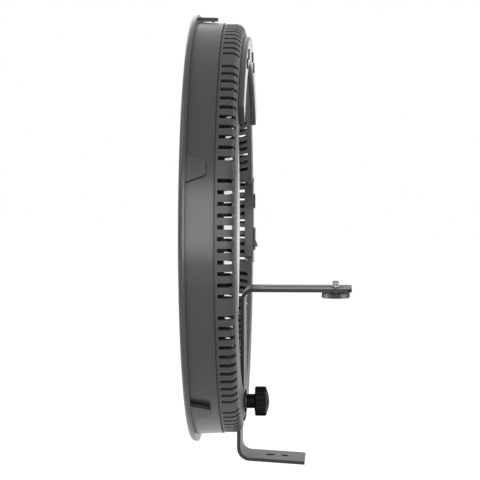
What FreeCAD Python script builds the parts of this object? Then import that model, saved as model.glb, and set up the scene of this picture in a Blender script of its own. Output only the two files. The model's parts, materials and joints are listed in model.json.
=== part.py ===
"""LED ring light with a bent steel foot and a sliding camera bracket.

The ring stands upright and its axis runs along Y. Its lit front faces -Y, and the camera
shelf reaches back along +Y. +Z is up. The origin is the middle of the stand hole, on the
underside of the foot.

Ring pieces are drawn about their own Z axis, with depth measured back from the front
plane of the rim, and then turned into place by place_on_ring. Clock angles on the ring run
from +X towards +Z. Bracket pieces are drawn straight in the frame of the part.
"""
import FreeCAD, Part
import math
import os
import types

import Sketcher

Vector = FreeCAD.Vector
Rotation = FreeCAD.Rotation

# Driving dimensions, in millimetres and degrees

SIZES = {
    # The ring as a whole
    "rim_radius": 187.3,
    "ring_width": 51.1,          # rim to bore wall
    "ring_depth": 45.3,          # front plane to rear plane
    "cover_depth": 17.3,         # parting line to rear plane
    "foot_drop": 16.7,           # underside of the foot below the rim
    "hole_to_front": 68.0,       # stand hole back from the front plane
    "wall": 2.2,                 # moulded walls
    "seat_gap": 0.1,             # between pieces that seat on each other
    "overrun": 5.0,              # cutters run past what they cut
    # Rim, the front bezel that snaps on
    "rim_depth": 5.5,
    "rim_round": 4.0,
    "rim_face": 2.0,
    "rim_border": 9.5,           # width of its face, out to the clear front opening
    "rim_lap": 6.3,              # how far it stands out past the side wall
    "tab_short": 6.5,            # end of a snap tab in front of the parting line
    "tab_root": 26.0,            # width of a tab where it leaves the rim
    "tab_tip": 12.0,
    "tab_round": 3.0,
    "tab_gap": 2.1,              # between a tab and the side wall
    "tab_inset": 0.9,            # below the rim's own edge
    "tab_count": 5,
    "tab_band_span": 11.0,       # degrees of rim that one tab is cut from
    "catch_span": 2.4,
    "catch_length": 2.6,
    # Side wall
    "wall_draft": 1.2,           # fall of the wall radius from front to parting line
    "groove_width": 1.3,
    "groove_depth": 1.1,
    "bead_height": 0.6,          # raised bead in front of the parting line
    "bead_width": 1.2,
    "ledge_step": 6.9,           # ledge that carries the light board, in front of the parting line
    "ledge_thick": 2.0,
    "ledge_reach": 10.5,         # from the side wall inwards
    # Opal cover, with the bore wall moulded on
    "opal_thick": 2.0,
    "opal_inset": 0.6,
    "opal_round": 3.0,
    "bore_part_step": 3.0,       # its bore wall ends this far behind the parting line
    # Rear cover
    "band_inset": 1.7,           # its outer band below the side wall's front edge
    "shoulder_round": 7.0,
    "taper_depth": 8.5,          # over which the bore opens out to the rear
    "hole_flare": 5.8,           # how far it opens out
    "slot_step": 2.9,            # first slot edge behind the parting line
    "slot_width": 3.4,
    "slot_pitch": 3.0,
    "slots_in_group": 11,
    "slot_groups": 10,
    "inner_slot_step": 2.6,
    "inner_slot_reach": 8.4,     # radial length of the cut from the bore outwards
    "outer_slot_reach": 7.2,     # radial length of the cut from the band inwards
    # Channel for the brackets at the bottom of the rear cover
    "channel_width": 51.2,
    "channel_depth": 6.05,
    # Screws that join the two shells
    "well_inset": 14.0,          # from the side wall to the circle they stand on
    "well_radius": 4.6,
    "well_bore": 3.4,
    "well_step": 2.5,            # front end of a well behind the parting line
    "well_web": 3.0,             # floor under the screw head
    "case_head_radius": 3.0,
    "case_head_height": 2.2,
    "case_shank_radius": 1.5,
    "case_screw_length": 12.0,
    "pilot_radius": 1.6,
    # Light board
    "board_thick": 1.6,
    "board_gap": 1.2,            # round the opal cover's bore wall
    "board_inset": 3.8,
    "board_hole": 1.7,
    "board_screw_inset": 3.2,
    "board_screw_head": 2.8,
    "board_screw_head_height": 1.5,
    "board_screw_shank": 1.45,
    "board_screw_length": 5.2,
    "board_screws": 6,
    "chip_length": 3.5,
    "chip_width": 2.8,
    "chip_height": 0.8,
    "chip_inset": 6.6,           # first row from the board's inner edge
    "chip_outset": 7.0,          # last row from the circle of screws
    "chips_in_row": 36,
    # Control panel, a raised crescent over the top of the rear cover
    "panel_span": 110.0,
    "panel_inset": 8.4,
    "panel_outset": 11.1,
    "panel_height": 4.7,
    "panel_wall": 1.7,
    "panel_end_wall": 0.7,       # in degrees, also for the inlet
    "panel_round": 1.3,
    "overlay_thick": 0.8,
    "overlay_margin": 2.4,
    "overlay_span": 106.0,
    "cutout_span": 100.0,        # opening of the rear cover under the panel
    "cutout_margin": 5.0,
    "display_wide": 28.0,
    "display_high": 10.0,
    "display_module_wide": 33.0,
    "display_module_high": 11.0,
    "control_board_sink": 4.7,   # below the rear plane
    "control_board_span": 90.0,
    "control_board_margin": 1.2,
    "post_radius": 2.6,
    "post_bore": 1.15,
    "post_angle": 41.0,
    "inner_post_angle": 8.2,
    "panel_screw_head": 2.2,
    "panel_screw_head_height": 1.3,
    "panel_screw_shank": 1.05,
    "panel_screw_length": 5.0,
    "button_radius": 4.6,
    "button_proud": 0.7,
    "button_travel": 0.8,
    "button_flange_radius": 5.6,
    "button_flange_thick": 1.0,
    "button_stem_radius": 1.6,
    "button_clearance": 0.15,
    "button_first_angle": 14.0,
    "button_pitch_angle": 10.0,
    "switch_width": 6.2,
    "switch_height": 3.2,
    "switch_floor": 0.6,
    # Power inlet and switch, on the far side
    "inlet_span": 28.0,
    "notch_margin": 0.1,         # in degrees
    "inlet_sink": 6.8,
    "inlet_proud": 1.3,
    "inlet_inset": 1.8,
    "inlet_outset": 13.3,
    "inlet_wall": 1.6,
    "inlet_lip": 2.0,            # how far its rear plate laps over the cover
    "inlet_round": 0.8,
    "rocker_angle": 6.5,
    "socket_angle": -7.0,
    "rocker_frame_wide": 15.0,
    "rocker_frame_high": 21.0,
    "rocker_frame_thick": 1.6,
    "rocker_frame_rim": 1.5,
    "rocker_body_depth": 5.6,
    "rocker_gap": 0.5,
    "rocker_proud": 3.0,
    "rocker_rise": 1.4,
    "rocker_swing": 8.0,
    "socket_radius": 5.6,
    "socket_proud": 1.4,
    "socket_depth": 5.4,
    "socket_bore": 2.85,
    "socket_bore_depth": 5.8,
    "socket_pin": 1.05,
    # Driver board inside the ring
    "driver_span": 30.0,
    "driver_inset": 12.8,
    "driver_outset": 10.3,
    "driver_step": 1.0,
    "driver_angle": 216.0,
    "driver_post_radius": 2.4,
    "driver_post_inset": 1.4,    # in degrees
    "driver_part_pitch": 6.5,    # in degrees
    "driver_choke_radius": 5.2,
    "driver_choke_height": 5.0,
    "driver_can_radius": 3.2,
    "driver_can_height": 7.0,
    "driver_plug_size": 7.5,
    # Steel brackets
    "plate": 3.0,
    "bracket_width": 50.0,
    "bracket_corner": 4.0,
    "slide_gap": 0.1,
    "foot_lean": 3.6,            # the foot falls this much towards the rear
    "foot_bend": 11.5,
    "foot_length": 59.2,
    "foot_top_inset": 8.4,       # top end of the leg below the bore wall
    "stand_hole": 4.3,
    "second_hole": 3.6,
    "second_hole_back": 12.6,
    "shelf_below": 51.6,         # top face of the shelf, below the ring centre
    "shelf_length": 97.0,
    "shelf_bend": 10.0,
    "leg_end_inset": 28.8,       # lower end of the camera bracket below the bore wall
    "leg_slot_width": 7.0,
    "leg_slot_margin": 4.6,
    "leg_slot_length": 38.4,
    "shelf_slot_width": 7.0,
    "shelf_slot_inset": 16.55,   # its front end behind the leg
    "shelf_slot_margin": 6.45,   # its rear end from the shelf's end
    # Clamp that holds the camera bracket
    "clamp_inset": 17.2,         # stud below the bore wall
    "stud_radius": 3.0,
    "stud_head_radius": 6.0,
    "stud_head_height": 2.6,
    "stud_reach": 6.3,           # from the end of the neck into the knob
    "stud_clearance": 0.1,
    "washer_radius": 10.2,
    "washer_thick": 1.4,
    "neck_radius": 6.35,
    "neck_length": 7.25,
    "knob_radius": 13.1,
    "knob_depth": 12.6,
    "knob_crown": 2.6,
    "knob_dip_radius": 4.6,
    "knob_dip_place": 15.2,
    "knob_lobes": 6,
    # Plate behind the channel, and the screws that hold the foot
    "backing_thick": 2.0,
    "backing_width": 62.0,
    "backing_inset": 7.3,        # its top edge below the bore wall
    "backing_margin": 8.3,       # its lower edge from the cover's band
    "foot_screw_side": 17.0,
    "foot_screw_margin": 5.0,    # from the plate's edges
    "foot_screw_head": 3.9,
    "foot_screw_head_height": 1.8,
    "foot_screw_shank": 2.0,
    "foot_screw_length": 7.4,
    "screw_hole_gap": 0.12,
    # Camera screw
    "camera_screw_inset": 14.05, # from the shelf's end
    "camera_screw_radius": 3.175,
    "camera_shank_radius": 2.5,  # thinner below the thread, so that the screw stays captive
    "camera_screw_proud": 5.5,
    "camera_washer_radius": 6.45,
    "camera_washer_thick": 1.8,
    "dial_radius": 12.4,
    "dial_height": 4.6,
    "dial_notches": 24,
    "dial_notch_depth": 0.6,
    "dial_notch_width": 1.6,
    "dial_edge": 0.5,
}

doc = FreeCAD.newDocument("RingLight")
sheet = doc.addObject("Spreadsheet::Sheet", "Sizes")
for row, (alias, number) in enumerate(SIZES.items(), start=1):
    sheet.set(f"A{row}", alias)
    sheet.set(f"B{row}", str(number))
    sheet.setAlias(f"B{row}", alias)
doc.recompute()


class Size:
    """A size with its number and the expression that binds it to the sheet."""

    def __init__(self, number, text):
        self.number = number
        self.text = text

    def __add__(self, other):
        other = as_size(other)
        return Size(self.number + other.number, f"({self.text} + {other.text})")

    def __sub__(self, other):
        other = as_size(other)
        return Size(self.number - other.number, f"({self.text} - {other.text})")

    def __mul__(self, other):
        other = as_size(other)
        return Size(self.number * other.number, f"({self.text} * {other.text})")

    def __truediv__(self, other):
        other = as_size(other)
        return Size(self.number / other.number, f"({self.text} / {other.text})")

    def __neg__(self):
        return Size(-self.number, f"(-({self.text}))")


def as_size(value):
    return value if isinstance(value, Size) else Size(float(value), repr(float(value)))


def sine(angle):
    angle = as_size(angle)
    return Size(math.sin(math.radians(angle.number)), f"sin({angle.text})")


def cosine(angle):
    angle = as_size(angle)
    return Size(math.cos(math.radians(angle.number)), f"cos({angle.text})")


def tangent(angle):
    angle = as_size(angle)
    return Size(math.tan(math.radians(angle.number)), f"tan({angle.text})")


S = types.SimpleNamespace(**{alias: Size(number, f"Sizes.{alias}") for alias, number in SIZES.items()})
ZERO = as_size(0)
TOP = 90.0
FAR_SIDE = 180.0
FULL_TURN = 360.0
ROUND_FLATS = 3                  # flats in a quarter round of the large rings
PEG_SIDES = 12                   # sides of the small round things that repeat

sub_parts = {}

# Radii on the ring that follow the rim and the bore

S.ring_height = S.rim_radius + S.foot_drop
S.bore_radius = S.rim_radius - S.ring_width
S.rim_window = S.rim_radius - S.rim_border
S.wall_radius = S.rim_radius - S.rim_lap
S.tab_inner = S.wall_radius + S.tab_gap
S.tab_outer = S.rim_radius - S.tab_inset
S.ledge_radius = S.wall_radius - S.ledge_reach
S.opal_radius = S.wall_radius - S.opal_inset
S.band_radius = S.wall_radius - S.band_inset
S.hole_radius = S.bore_radius + S.hole_flare
S.well_place = S.wall_radius - S.well_inset
S.board_inner = S.bore_radius + S.opal_thick + S.board_gap
S.board_outer = S.wall_radius - S.board_inset
S.board_screw_place = S.board_outer - S.board_screw_inset
S.chip_first_row = S.board_inner + S.chip_inset
S.chip_row_pitch = (S.board_screw_place - S.chip_outset - S.chip_first_row) / 2
S.panel_inner = S.bore_radius + S.panel_inset
S.panel_outer = S.band_radius - S.panel_outset
S.inlet_inner = S.bore_radius + S.inlet_inset
S.inlet_outer = S.band_radius - S.inlet_outset
S.inlet_place = (S.inlet_inner + S.inlet_outer + S.inlet_lip) / 2
S.driver_inner = S.bore_radius + S.driver_inset
S.driver_outer = S.band_radius - S.driver_outset

# Depths that follow the parting line and the rear plane

S.part_line = S.ring_depth - S.cover_depth
S.tab_reach = S.part_line - S.tab_short
S.ledge_depth = S.part_line - S.ledge_step
S.bore_part_line = S.part_line + S.bore_part_step
S.well_mouth = S.part_line + S.well_step
S.driver_front = S.part_line + S.driver_step
S.slot_start = S.part_line + S.slot_step
S.shoulder_start = S.ring_depth - S.shoulder_round
S.inner_slot_start = S.bore_part_line + S.inner_slot_step
S.taper_start = S.ring_depth - S.taper_depth
S.channel_floor = S.ring_depth - S.channel_depth
S.control_board_front = S.ring_depth - S.control_board_sink
S.inlet_front = S.ring_depth - S.inlet_sink
S.inlet_rear = S.ring_depth + S.inlet_proud
S.leg_rear = S.channel_floor + (S.slide_gap + S.plate) * 2
S.neck_end = S.leg_rear + S.slide_gap + S.washer_thick + S.neck_length
S.stud_end = S.neck_end + S.stud_reach
S.shelf_end = S.leg_rear - S.plate + S.shelf_length
S.shelf_slot_front = S.leg_rear + S.shelf_slot_inset
S.shelf_slot_rear = S.shelf_end - S.shelf_slot_margin
S.camera_screw_depth = S.shelf_end - S.camera_screw_inset

# Distances below the ring centre

S.foot_top = S.bore_radius + S.foot_top_inset
S.leg_end = S.bore_radius + S.leg_end_inset
S.leg_slot_low = S.leg_end - S.leg_slot_margin
S.leg_slot_high = S.leg_slot_low - S.leg_slot_length
S.clamp_below = S.bore_radius + S.clamp_inset
S.backing_high = S.bore_radius + S.backing_inset
S.backing_low = S.band_radius - S.backing_margin
S.foot_screw_high = S.backing_high + S.foot_screw_margin
S.foot_screw_low = S.backing_low - S.foot_screw_margin


# Building blocks

def bind(item, prop, value):
    item.setExpression(prop, as_size(value).text)


def new(kind, name):
    return doc.addObject(kind, name)


def keep(item, node):
    """Marks an object as a finished sub-part, under its own name."""
    item.Label = node
    sub_parts[node] = item
    return item


def place(item, x=ZERO, y=ZERO, z=ZERO, rotation=None):
    item.Placement = FreeCAD.Placement(Vector(0, 0, 0), rotation or Rotation())
    bind(item, "Placement.Base.x", x)
    bind(item, "Placement.Base.y", y)
    bind(item, "Placement.Base.z", z)
    return item


def place_on_ring(item, clock=0.0):
    """Turns depth from Z to +Y, and the piece's own +X to a clock angle of the ring."""
    rotation = Rotation(Vector(1, 0, 0), -TOP) * Rotation(Vector(0, 0, 1), -clock)
    return place(item, ZERO, -S.hole_to_front, S.ring_height, rotation)


def on_clock(radius, clock):
    """Where a clock angle and radius lie in the ring's own drawing frame."""
    return radius * cosine(clock), -(radius * sine(clock))


def new_body(name):
    body = new("PartDesign::Body", name)
    body.AllowCompound = True
    return body


def origin_plane(body, role):
    return next(item for item in body.Origin.OriginFeatures if item.Role == role)


def new_sketch(body, name, role, loops, height=None):
    """A sketch of closed loops: a list of corners, or a (u, v, radius) circle."""
    sketch = body.newObject("Sketcher::SketchObject", name)
    sketch.AttachmentSupport = [(origin_plane(body, role), "")]
    sketch.MapMode = "FlatFace"
    if height is not None:
        bind(sketch, "AttachmentOffset.Base.z", height)
    for loop in loops:
        if isinstance(loop, tuple):
            add_circle(sketch, *loop)
        else:
            add_polygon(sketch, loop)
    return sketch


def hold_point(sketch, geometry, point, axis, value):
    value = as_size(value)
    index = sketch.addConstraint(
        Sketcher.Constraint(f"Distance{axis}", -1, 1, geometry, point, value.number))
    bind(sketch, f"Constraints[{index}]", value)


def add_polygon(sketch, corners):
    points = [Vector(as_size(u).number, as_size(v).number, 0) for u, v in corners]
    count = len(corners)
    lines = [Part.LineSegment(points[i], points[(i + 1) % count]) for i in range(count)]
    ids = sketch.addGeometry(lines, False)
    for i in range(count):
        sketch.addConstraint(Sketcher.Constraint("Coincident", ids[i], 2, ids[(i + 1) % count], 1))
    for i, (u, v) in enumerate(corners):
        hold_point(sketch, ids[i], 1, "X", u)
        hold_point(sketch, ids[i], 1, "Y", v)


def add_circle(sketch, u, v, radius):
    centre = Vector(as_size(u).number, as_size(v).number, 0)
    circle = sketch.addGeometry(Part.Circle(centre, Vector(0, 0, 1), radius.number), False)
    hold_point(sketch, circle, 3, "X", u)
    hold_point(sketch, circle, 3, "Y", v)
    index = sketch.addConstraint(Sketcher.Constraint("Radius", circle, radius.number))
    bind(sketch, f"Constraints[{index}]", radius)


def rectangle(u_low, u_high, v_low, v_high):
    return [(u_low, v_low), (u_high, v_low), (u_high, v_high), (u_low, v_high)]


def centred(u, v, wide, high):
    return rectangle(u - wide / 2, u + wide / 2, v - high / 2, v + high / 2)


def rounded(u, v, radius, side_u, side_v):
    """A square corner's quarter round in a few flats, from the v face round to the u face."""
    middle_u = u - radius * side_u
    middle_v = v - radius * side_v
    turns = [TOP * step / ROUND_FLATS for step in range(ROUND_FLATS + 1)]
    return [(middle_u + radius * sine(turn) * side_u, middle_v + radius * cosine(turn) * side_v)
            for turn in turns]


def revolve(body, name, corners, span=None):
    """Turns a radius and depth outline about Z, all round or evenly about +X."""
    sketch = new_sketch(body, f"{name}_outline", "XZ_Plane", [corners])
    feature = body.newObject("PartDesign::Revolution", name)
    feature.Profile = sketch
    feature.ReferenceAxis = (sketch, ["V_Axis"])
    if span is None:
        feature.Angle = FULL_TURN
    else:
        feature.Midplane = True
        bind(feature, "Angle", span)
    return feature


def pad(body, name, role, loops, length, height=None, middle=False, backwards=False):
    feature = body.newObject("PartDesign::Pad", name)
    feature.Profile = new_sketch(body, f"{name}_outline", role, loops, height)
    feature.Midplane = middle
    feature.Reversed = backwards
    bind(feature, "Length", length)
    return feature


def pocket(body, name, role, loops, length, height=None, middle=False, backwards=False):
    feature = body.newObject("PartDesign::Pocket", name)
    feature.Profile = new_sketch(body, f"{name}_outline", role, loops, height)
    feature.Midplane = middle
    feature.Reversed = backwards
    bind(feature, "Length", length)
    return feature


def polar(body, name, features, count, angle=FULL_TURN):
    feature = body.newObject("PartDesign::PolarPattern", name)
    feature.Originals = features
    feature.Axis = (origin_plane(body, "Z_Axis"), [""])
    feature.Angle = angle
    bind(feature, "Occurrences", count)
    body.Tip = feature
    return feature


def round_edges(body, name, radius, wanted):
    """Rounds the edges of the body's last feature that the test picks."""
    doc.recompute()
    last = body.Tip
    names = [f"Edge{i}" for i, edge in enumerate(last.Shape.Edges, start=1) if wanted(edge)]
    assert names, f"{name}: no edge to round"
    feature = body.newObject("PartDesign::Fillet", name)
    feature.Base = (last, names)
    bind(feature, "Radius", radius)
    return feature


def is_along(axis, *places):
    """Picks the straight edges along one axis that pass through any of the places."""
    def wanted(edge):
        if not isinstance(edge.Curve, Part.Line):
            return False
        ends = [vertex.Point for vertex in edge.Vertexes]
        step = ends[1] - ends[0]
        others = [i for i in range(3) if i != axis]
        if any(abs(step[i]) > NEAR for i in others):
            return False
        return any(all(abs(ends[0][i] - as_size(value).number) < NEAR
                       for i, value in zip(others, spot)) for spot in places)
    return wanted


NEAR = S.seat_gap.number / 10


def box(name, x_low, x_high, y_low, y_high, z_low, z_high):
    item = new("Part::Box", name)
    bind(item, "Length", x_high - x_low)
    bind(item, "Width", y_high - y_low)
    bind(item, "Height", z_high - z_low)
    return place(item, x_low, y_low, z_low)


def rod(name, radius, height, x=ZERO, y=ZERO, z=ZERO, rotation=None):
    item = new("Part::Cylinder", name)
    bind(item, "Radius", radius)
    bind(item, "Height", height)
    return place(item, x, y, z, rotation)


def peg(name, radius, height, x, y, z, rotation=None):
    """A small screw, post or hole that repeats, drawn round with few sides."""
    item = new("Part::Prism", name)
    item.Polygon = PEG_SIDES
    bind(item, "Circumradius", radius)
    bind(item, "Height", height)
    return place(item, x, y, z, rotation)


def cut(name, base, *tools):
    """Takes one or more tools away from a base."""
    tool = tools[0]
    if len(tools) > 1:
        tool = new("Part::Compound", f"{name}_tools")
        tool.Links = list(tools)
    item = new("Part::Cut", name)
    item.Base = base
    item.Tool = tool
    return item


def fuse(name, *items):
    item = new("Part::MultiFuse", name)
    item.Shapes = list(items)
    item.Refine = True
    return item


# Rim with its five snap tabs

def make_bezel_ring():
    skirt_inner = S.wall_radius + S.seat_gap
    rim = new_body("Rim")
    revolve(rim, "RimSection", [
        (S.rim_window, ZERO),
        *rounded(S.rim_radius, ZERO, S.rim_round, 1, -1),
        (S.rim_radius, S.rim_depth),
        (skirt_inner, S.rim_depth),
        (skirt_inner, S.rim_face),
        (S.rim_window, S.rim_face)])

    tabs = new_body("Tabs")
    root_depth = S.rim_depth / 2
    revolve(tabs, "TabBand", [
        (S.tab_inner, root_depth),
        (S.tab_outer, root_depth),
        (S.tab_outer - S.rim_face / 4, S.tab_reach),
        (S.tab_inner, S.tab_reach)], S.tab_band_span)
    flanks = [[(side * S.tab_root / 2, root_depth),
               (side * S.tab_root, root_depth),
               (side * S.tab_root, S.tab_reach + S.overrun),
               (side * S.tab_tip / 2, S.tab_reach + S.overrun),
               (side * S.tab_tip / 2, S.tab_reach)] for side in (as_size(1), as_size(-1))]
    pocket(tabs, "TabFlanks", "YZ_Plane", flanks, S.rim_radius, backwards=True)
    tip_half = S.tab_tip / 2
    round_edges(tabs, "TabTips", S.tab_round, is_along(0, (tip_half, S.tab_reach), (-tip_half, S.tab_reach)))
    # The catch under each tab holds on the side wall
    catch_end = S.tab_reach - S.tab_round
    revolve(tabs, "Catch", rectangle(
        S.wall_radius, S.tab_inner + S.seat_gap, catch_end - S.catch_length, catch_end), S.catch_span)
    whole_body_polar(tabs, "TabPattern", S.tab_count)
    place(tabs, rotation=Rotation(Vector(0, 0, 1), -TOP))
    bezel = fuse("BezelRing", rim, tabs)
    keep(place_on_ring(bezel), "bezel_ring")


def whole_body_polar(body, name, count):
    feature = polar(body, name, [], count)
    feature.TransformMode = "Whole shape"
    return feature


# Opal cover: the front face and the bore wall are one moulding

def make_diffuser():
    body = new_body("Diffuser")
    bore_outer = S.bore_radius + S.opal_thick
    face = S.rim_face + S.seat_gap
    revolve(body, "OpalSection", [
        (S.opal_radius, face),
        (S.opal_radius, face + S.opal_thick),
        (bore_outer, face + S.opal_thick),
        (bore_outer, S.bore_part_line),
        (S.bore_radius, S.bore_part_line),
        *reversed(rounded(S.bore_radius, face, S.opal_round, -1, -1))])
    keep(place_on_ring(body), "diffuser")


# Front shell: the side wall, the ledge for the light board and the screw bosses

def well_clocks():
    """The wells stand at the plain gaps between slot groups that nothing else covers."""
    group = FULL_TURN / S.slot_groups.number
    gaps = [group * (index + 1 / 2) for index in range(int(S.slot_groups.number))]
    free = S.panel_span.number / 2 + S.slot_pitch.number
    return [gap for gap in gaps if free < abs(gap - TOP) and gap != TOP + FAR_SIDE]


def make_front_housing():
    seat = S.rim_face + S.seat_gap + S.opal_thick
    rear_radius = S.wall_radius - S.wall_draft
    inner_front = S.wall_radius - S.wall
    inner_rear = rear_radius - S.wall
    bead_front = S.part_line - S.bead_width
    ledge_rear = S.ledge_depth + S.ledge_thick
    shell = new_body("FrontShell")
    revolve(shell, "SideWall", [
        (inner_front, seat),
        (S.wall_radius, seat),
        (rear_radius, bead_front),
        (rear_radius + S.bead_height, bead_front),
        (rear_radius + S.bead_height, S.part_line),
        (inner_rear, S.part_line)])
    revolve(shell, "Ledge", rectangle(
        S.ledge_radius, inner_rear + S.wall / 2, S.ledge_depth, ledge_rear))
    bosses = [peg(f"Boss{i}", S.well_radius, S.well_mouth - S.ledge_depth - S.seat_gap,
                  *on_clock(S.well_place, clock), S.ledge_depth)
              for i, clock in enumerate(well_clocks())]
    pilots = [peg(f"BossBore{i}", S.pilot_radius, S.well_mouth - S.ledge_depth + S.overrun,
                  *on_clock(S.well_place, clock), S.ledge_depth - S.overrun / 2)
              for i, clock in enumerate(well_clocks())]
    holes = [peg(f"LedgeHole{i}", S.pilot_radius, S.ledge_thick + S.overrun,
                 *on_clock(S.board_screw_place, clock), S.ledge_depth - S.overrun / 2)
             for i, clock in enumerate(board_screw_clocks())]
    body = cut("FrontHousing", fuse("FrontSolid", shell, *bosses), *pilots, *holes)
    keep(place_on_ring(body), "front_housing")


def board_screw_clocks():
    count = int(S.board_screws.number)
    return [index * FULL_TURN / count for index in range(count)]


# Light board with its rings of chips

def make_led_board():
    blank = new_body("LightBoard")
    front = S.ledge_depth - S.board_thick - S.seat_gap
    revolve(blank, "BoardSection", rectangle(
        S.board_inner, S.board_outer, front, front + S.board_thick))
    holes = [peg(f"BoardHole{i}", S.board_hole, S.board_thick + S.overrun,
                 *on_clock(S.board_screw_place, clock), front - S.overrun / 2)
             for i, clock in enumerate(board_screw_clocks())]
    keep(place_on_ring(cut("LedBoard", blank, *holes)), "led_board")

    chips = new_body("LedChips")
    rows = [centred(S.chip_first_row + S.chip_row_pitch * row, ZERO, S.chip_length, S.chip_width)
            for row in range(3)]
    chip = pad(chips, "Chip", "XY_Plane", rows, S.chip_height, front - S.chip_height)
    polar(chips, "ChipPattern", [chip], S.chips_in_row)
    place_on_ring(chips, clock=FULL_TURN / S.chips_in_row.number / 2)
    keep(chips, "led_chips")

    screws = []
    for i, clock in enumerate(board_screw_clocks()):
        u, v = on_clock(S.board_screw_place, clock)
        screws.append(peg(f"BoardScrewHead{i}", S.board_screw_head, S.board_screw_head_height,
                          u, v, front - S.board_screw_head_height))
        screws.append(peg(f"BoardScrewShank{i}", S.board_screw_shank,
                          S.board_screw_length + S.board_screw_head_height,
                          u, v, front - S.board_screw_head_height))
    keep(place_on_ring(fuse("BoardScrews", *screws)), "board_screws")


# Rear cover, with cooling slots all round its outer shoulder and its bore

def make_rear_cover():
    band_front = S.part_line + S.groove_width
    tongue = S.wall_radius - S.wall_draft - S.wall - S.seat_gap
    shoulder = list(reversed(rounded(S.band_radius, S.ring_depth, S.shoulder_round, 1, 1)))
    envelope = new_body("CoverOutside")
    revolve(envelope, "CoverOutline", [
        (S.bore_radius, S.bore_part_line + S.seat_gap),
        (S.bore_radius + S.wall, S.bore_part_line + S.seat_gap),
        (tongue, S.part_line - S.ledge_thick),
        (tongue, S.part_line + S.seat_gap),
        (S.band_radius - S.groove_depth, S.part_line + S.seat_gap),
        (S.band_radius - S.groove_depth, band_front),
        (S.band_radius, band_front),
        *shoulder,
        (S.hole_radius, S.ring_depth),
        (S.bore_radius, S.taper_start)])

    inside_rear = S.ring_depth - S.wall
    cavity = new_body("CoverInside")
    revolve(cavity, "CavityOutline", [
        (S.bore_radius + S.wall, S.part_line - S.overrun),
        (tongue - S.wall, S.part_line - S.overrun),
        (tongue - S.wall, band_front + S.wall),
        (S.band_radius - S.wall, band_front + S.wall),
        (S.band_radius - S.wall, S.shoulder_start),
        (shoulder[1][0] - S.wall, shoulder[1][1] + S.seat_gap),
        (shoulder[2][0] - S.wall, inside_rear),
        (S.hole_radius + S.wall / 2, inside_rear),
        (S.bore_radius + S.wall, S.taper_start)])

    # The channel box stays solid in the cavity, then the channel is cut into it
    half_box = S.channel_width / 2 + S.wall
    half_channel = S.channel_width / 2
    floor_front = S.channel_floor - S.wall
    keep_box = box("ChannelBox", -half_box, half_box, S.bore_radius - S.overrun,
                   S.rim_radius, floor_front, S.ring_depth + S.overrun)
    channel = box("Channel", -half_channel, half_channel, S.bore_radius - S.overrun * 2,
                  S.rim_radius + S.overrun, S.channel_floor, S.ring_depth + S.overrun)
    # Screw wells stay solid too
    wells = [peg(f"Well{i}", S.well_radius, S.ring_depth - S.well_mouth,
                 *on_clock(S.well_place, clock), S.well_mouth)
             for i, clock in enumerate(well_clocks())]
    post_front = S.driver_front + S.board_thick + S.seat_gap
    posts = [peg(f"DriverPost{i}", S.driver_post_radius, S.ring_depth - post_front, u, v, post_front)
             for i, (u, v) in enumerate(driver_post_places())]
    hollow = cut("Hollow", cavity, keep_box, *wells, *posts)
    shell = cut("CoverShell", envelope, hollow)

    head_seat = S.well_mouth + S.well_web
    bores = []
    for i, clock in enumerate(well_clocks()):
        u, v = on_clock(S.well_place, clock)
        bores.append(peg(f"WellBore{i}", S.well_bore, S.ring_depth - head_seat + S.overrun, u, v, head_seat))
        bores.append(peg(f"WellPilot{i}", S.pilot_radius, S.well_web + S.overrun,
                         u, v, S.well_mouth - S.overrun / 2))

    for i, (u, v) in enumerate(driver_post_places()):
        bores.append(peg(f"DriverPostBore{i}", S.post_bore, S.panel_screw_length, u, v,
                         post_front - S.seat_gap))

    # No slot opens into the channel
    guard_half = half_box + S.slot_width
    guard = box("SlotGuard", -guard_half, guard_half, S.bore_radius - S.overrun * 2,
                S.rim_radius + S.overrun, S.slot_start - S.overrun, S.ring_depth)
    slots = cut("SlotTools", make_slots(), guard)
    # The opening under the control panel, and the notch for the power inlet
    cutout = new_body("PanelCutout")
    revolve(cutout, "CutoutSection", rectangle(
        S.panel_inner + S.cutout_margin, S.panel_outer - S.cutout_margin,
        inside_rear - S.overrun, S.ring_depth + S.overrun), S.cutout_span)
    place(cutout, rotation=Rotation(Vector(0, 0, 1), -TOP))
    notch = new_body("InletNotch")
    revolve(notch, "NotchSection", rectangle(
        S.bore_radius - S.overrun, S.inlet_outer + S.seat_gap,
        S.inlet_front - S.seat_gap, S.ring_depth + S.overrun), S.inlet_span + S.notch_margin)
    place(notch, rotation=Rotation(Vector(0, 0, 1), FAR_SIDE))
    stud_hole = rod("FloorHole", S.stud_radius + S.stud_clearance, S.overrun * 2,
                    ZERO, S.clamp_below, floor_front - S.overrun)
    screw_holes = [peg(f"FloorScrewHole{i}", S.foot_screw_shank + S.screw_hole_gap, S.overrun * 2,
                       x, y, floor_front - S.overrun)
                   for i, (x, y) in enumerate(foot_screw_places())]
    cover = cut("RearCover", shell, channel, *bores, slots, cutout, notch, stud_hole, *screw_holes)
    keep(place_on_ring(cover), "rear_cover")


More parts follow.
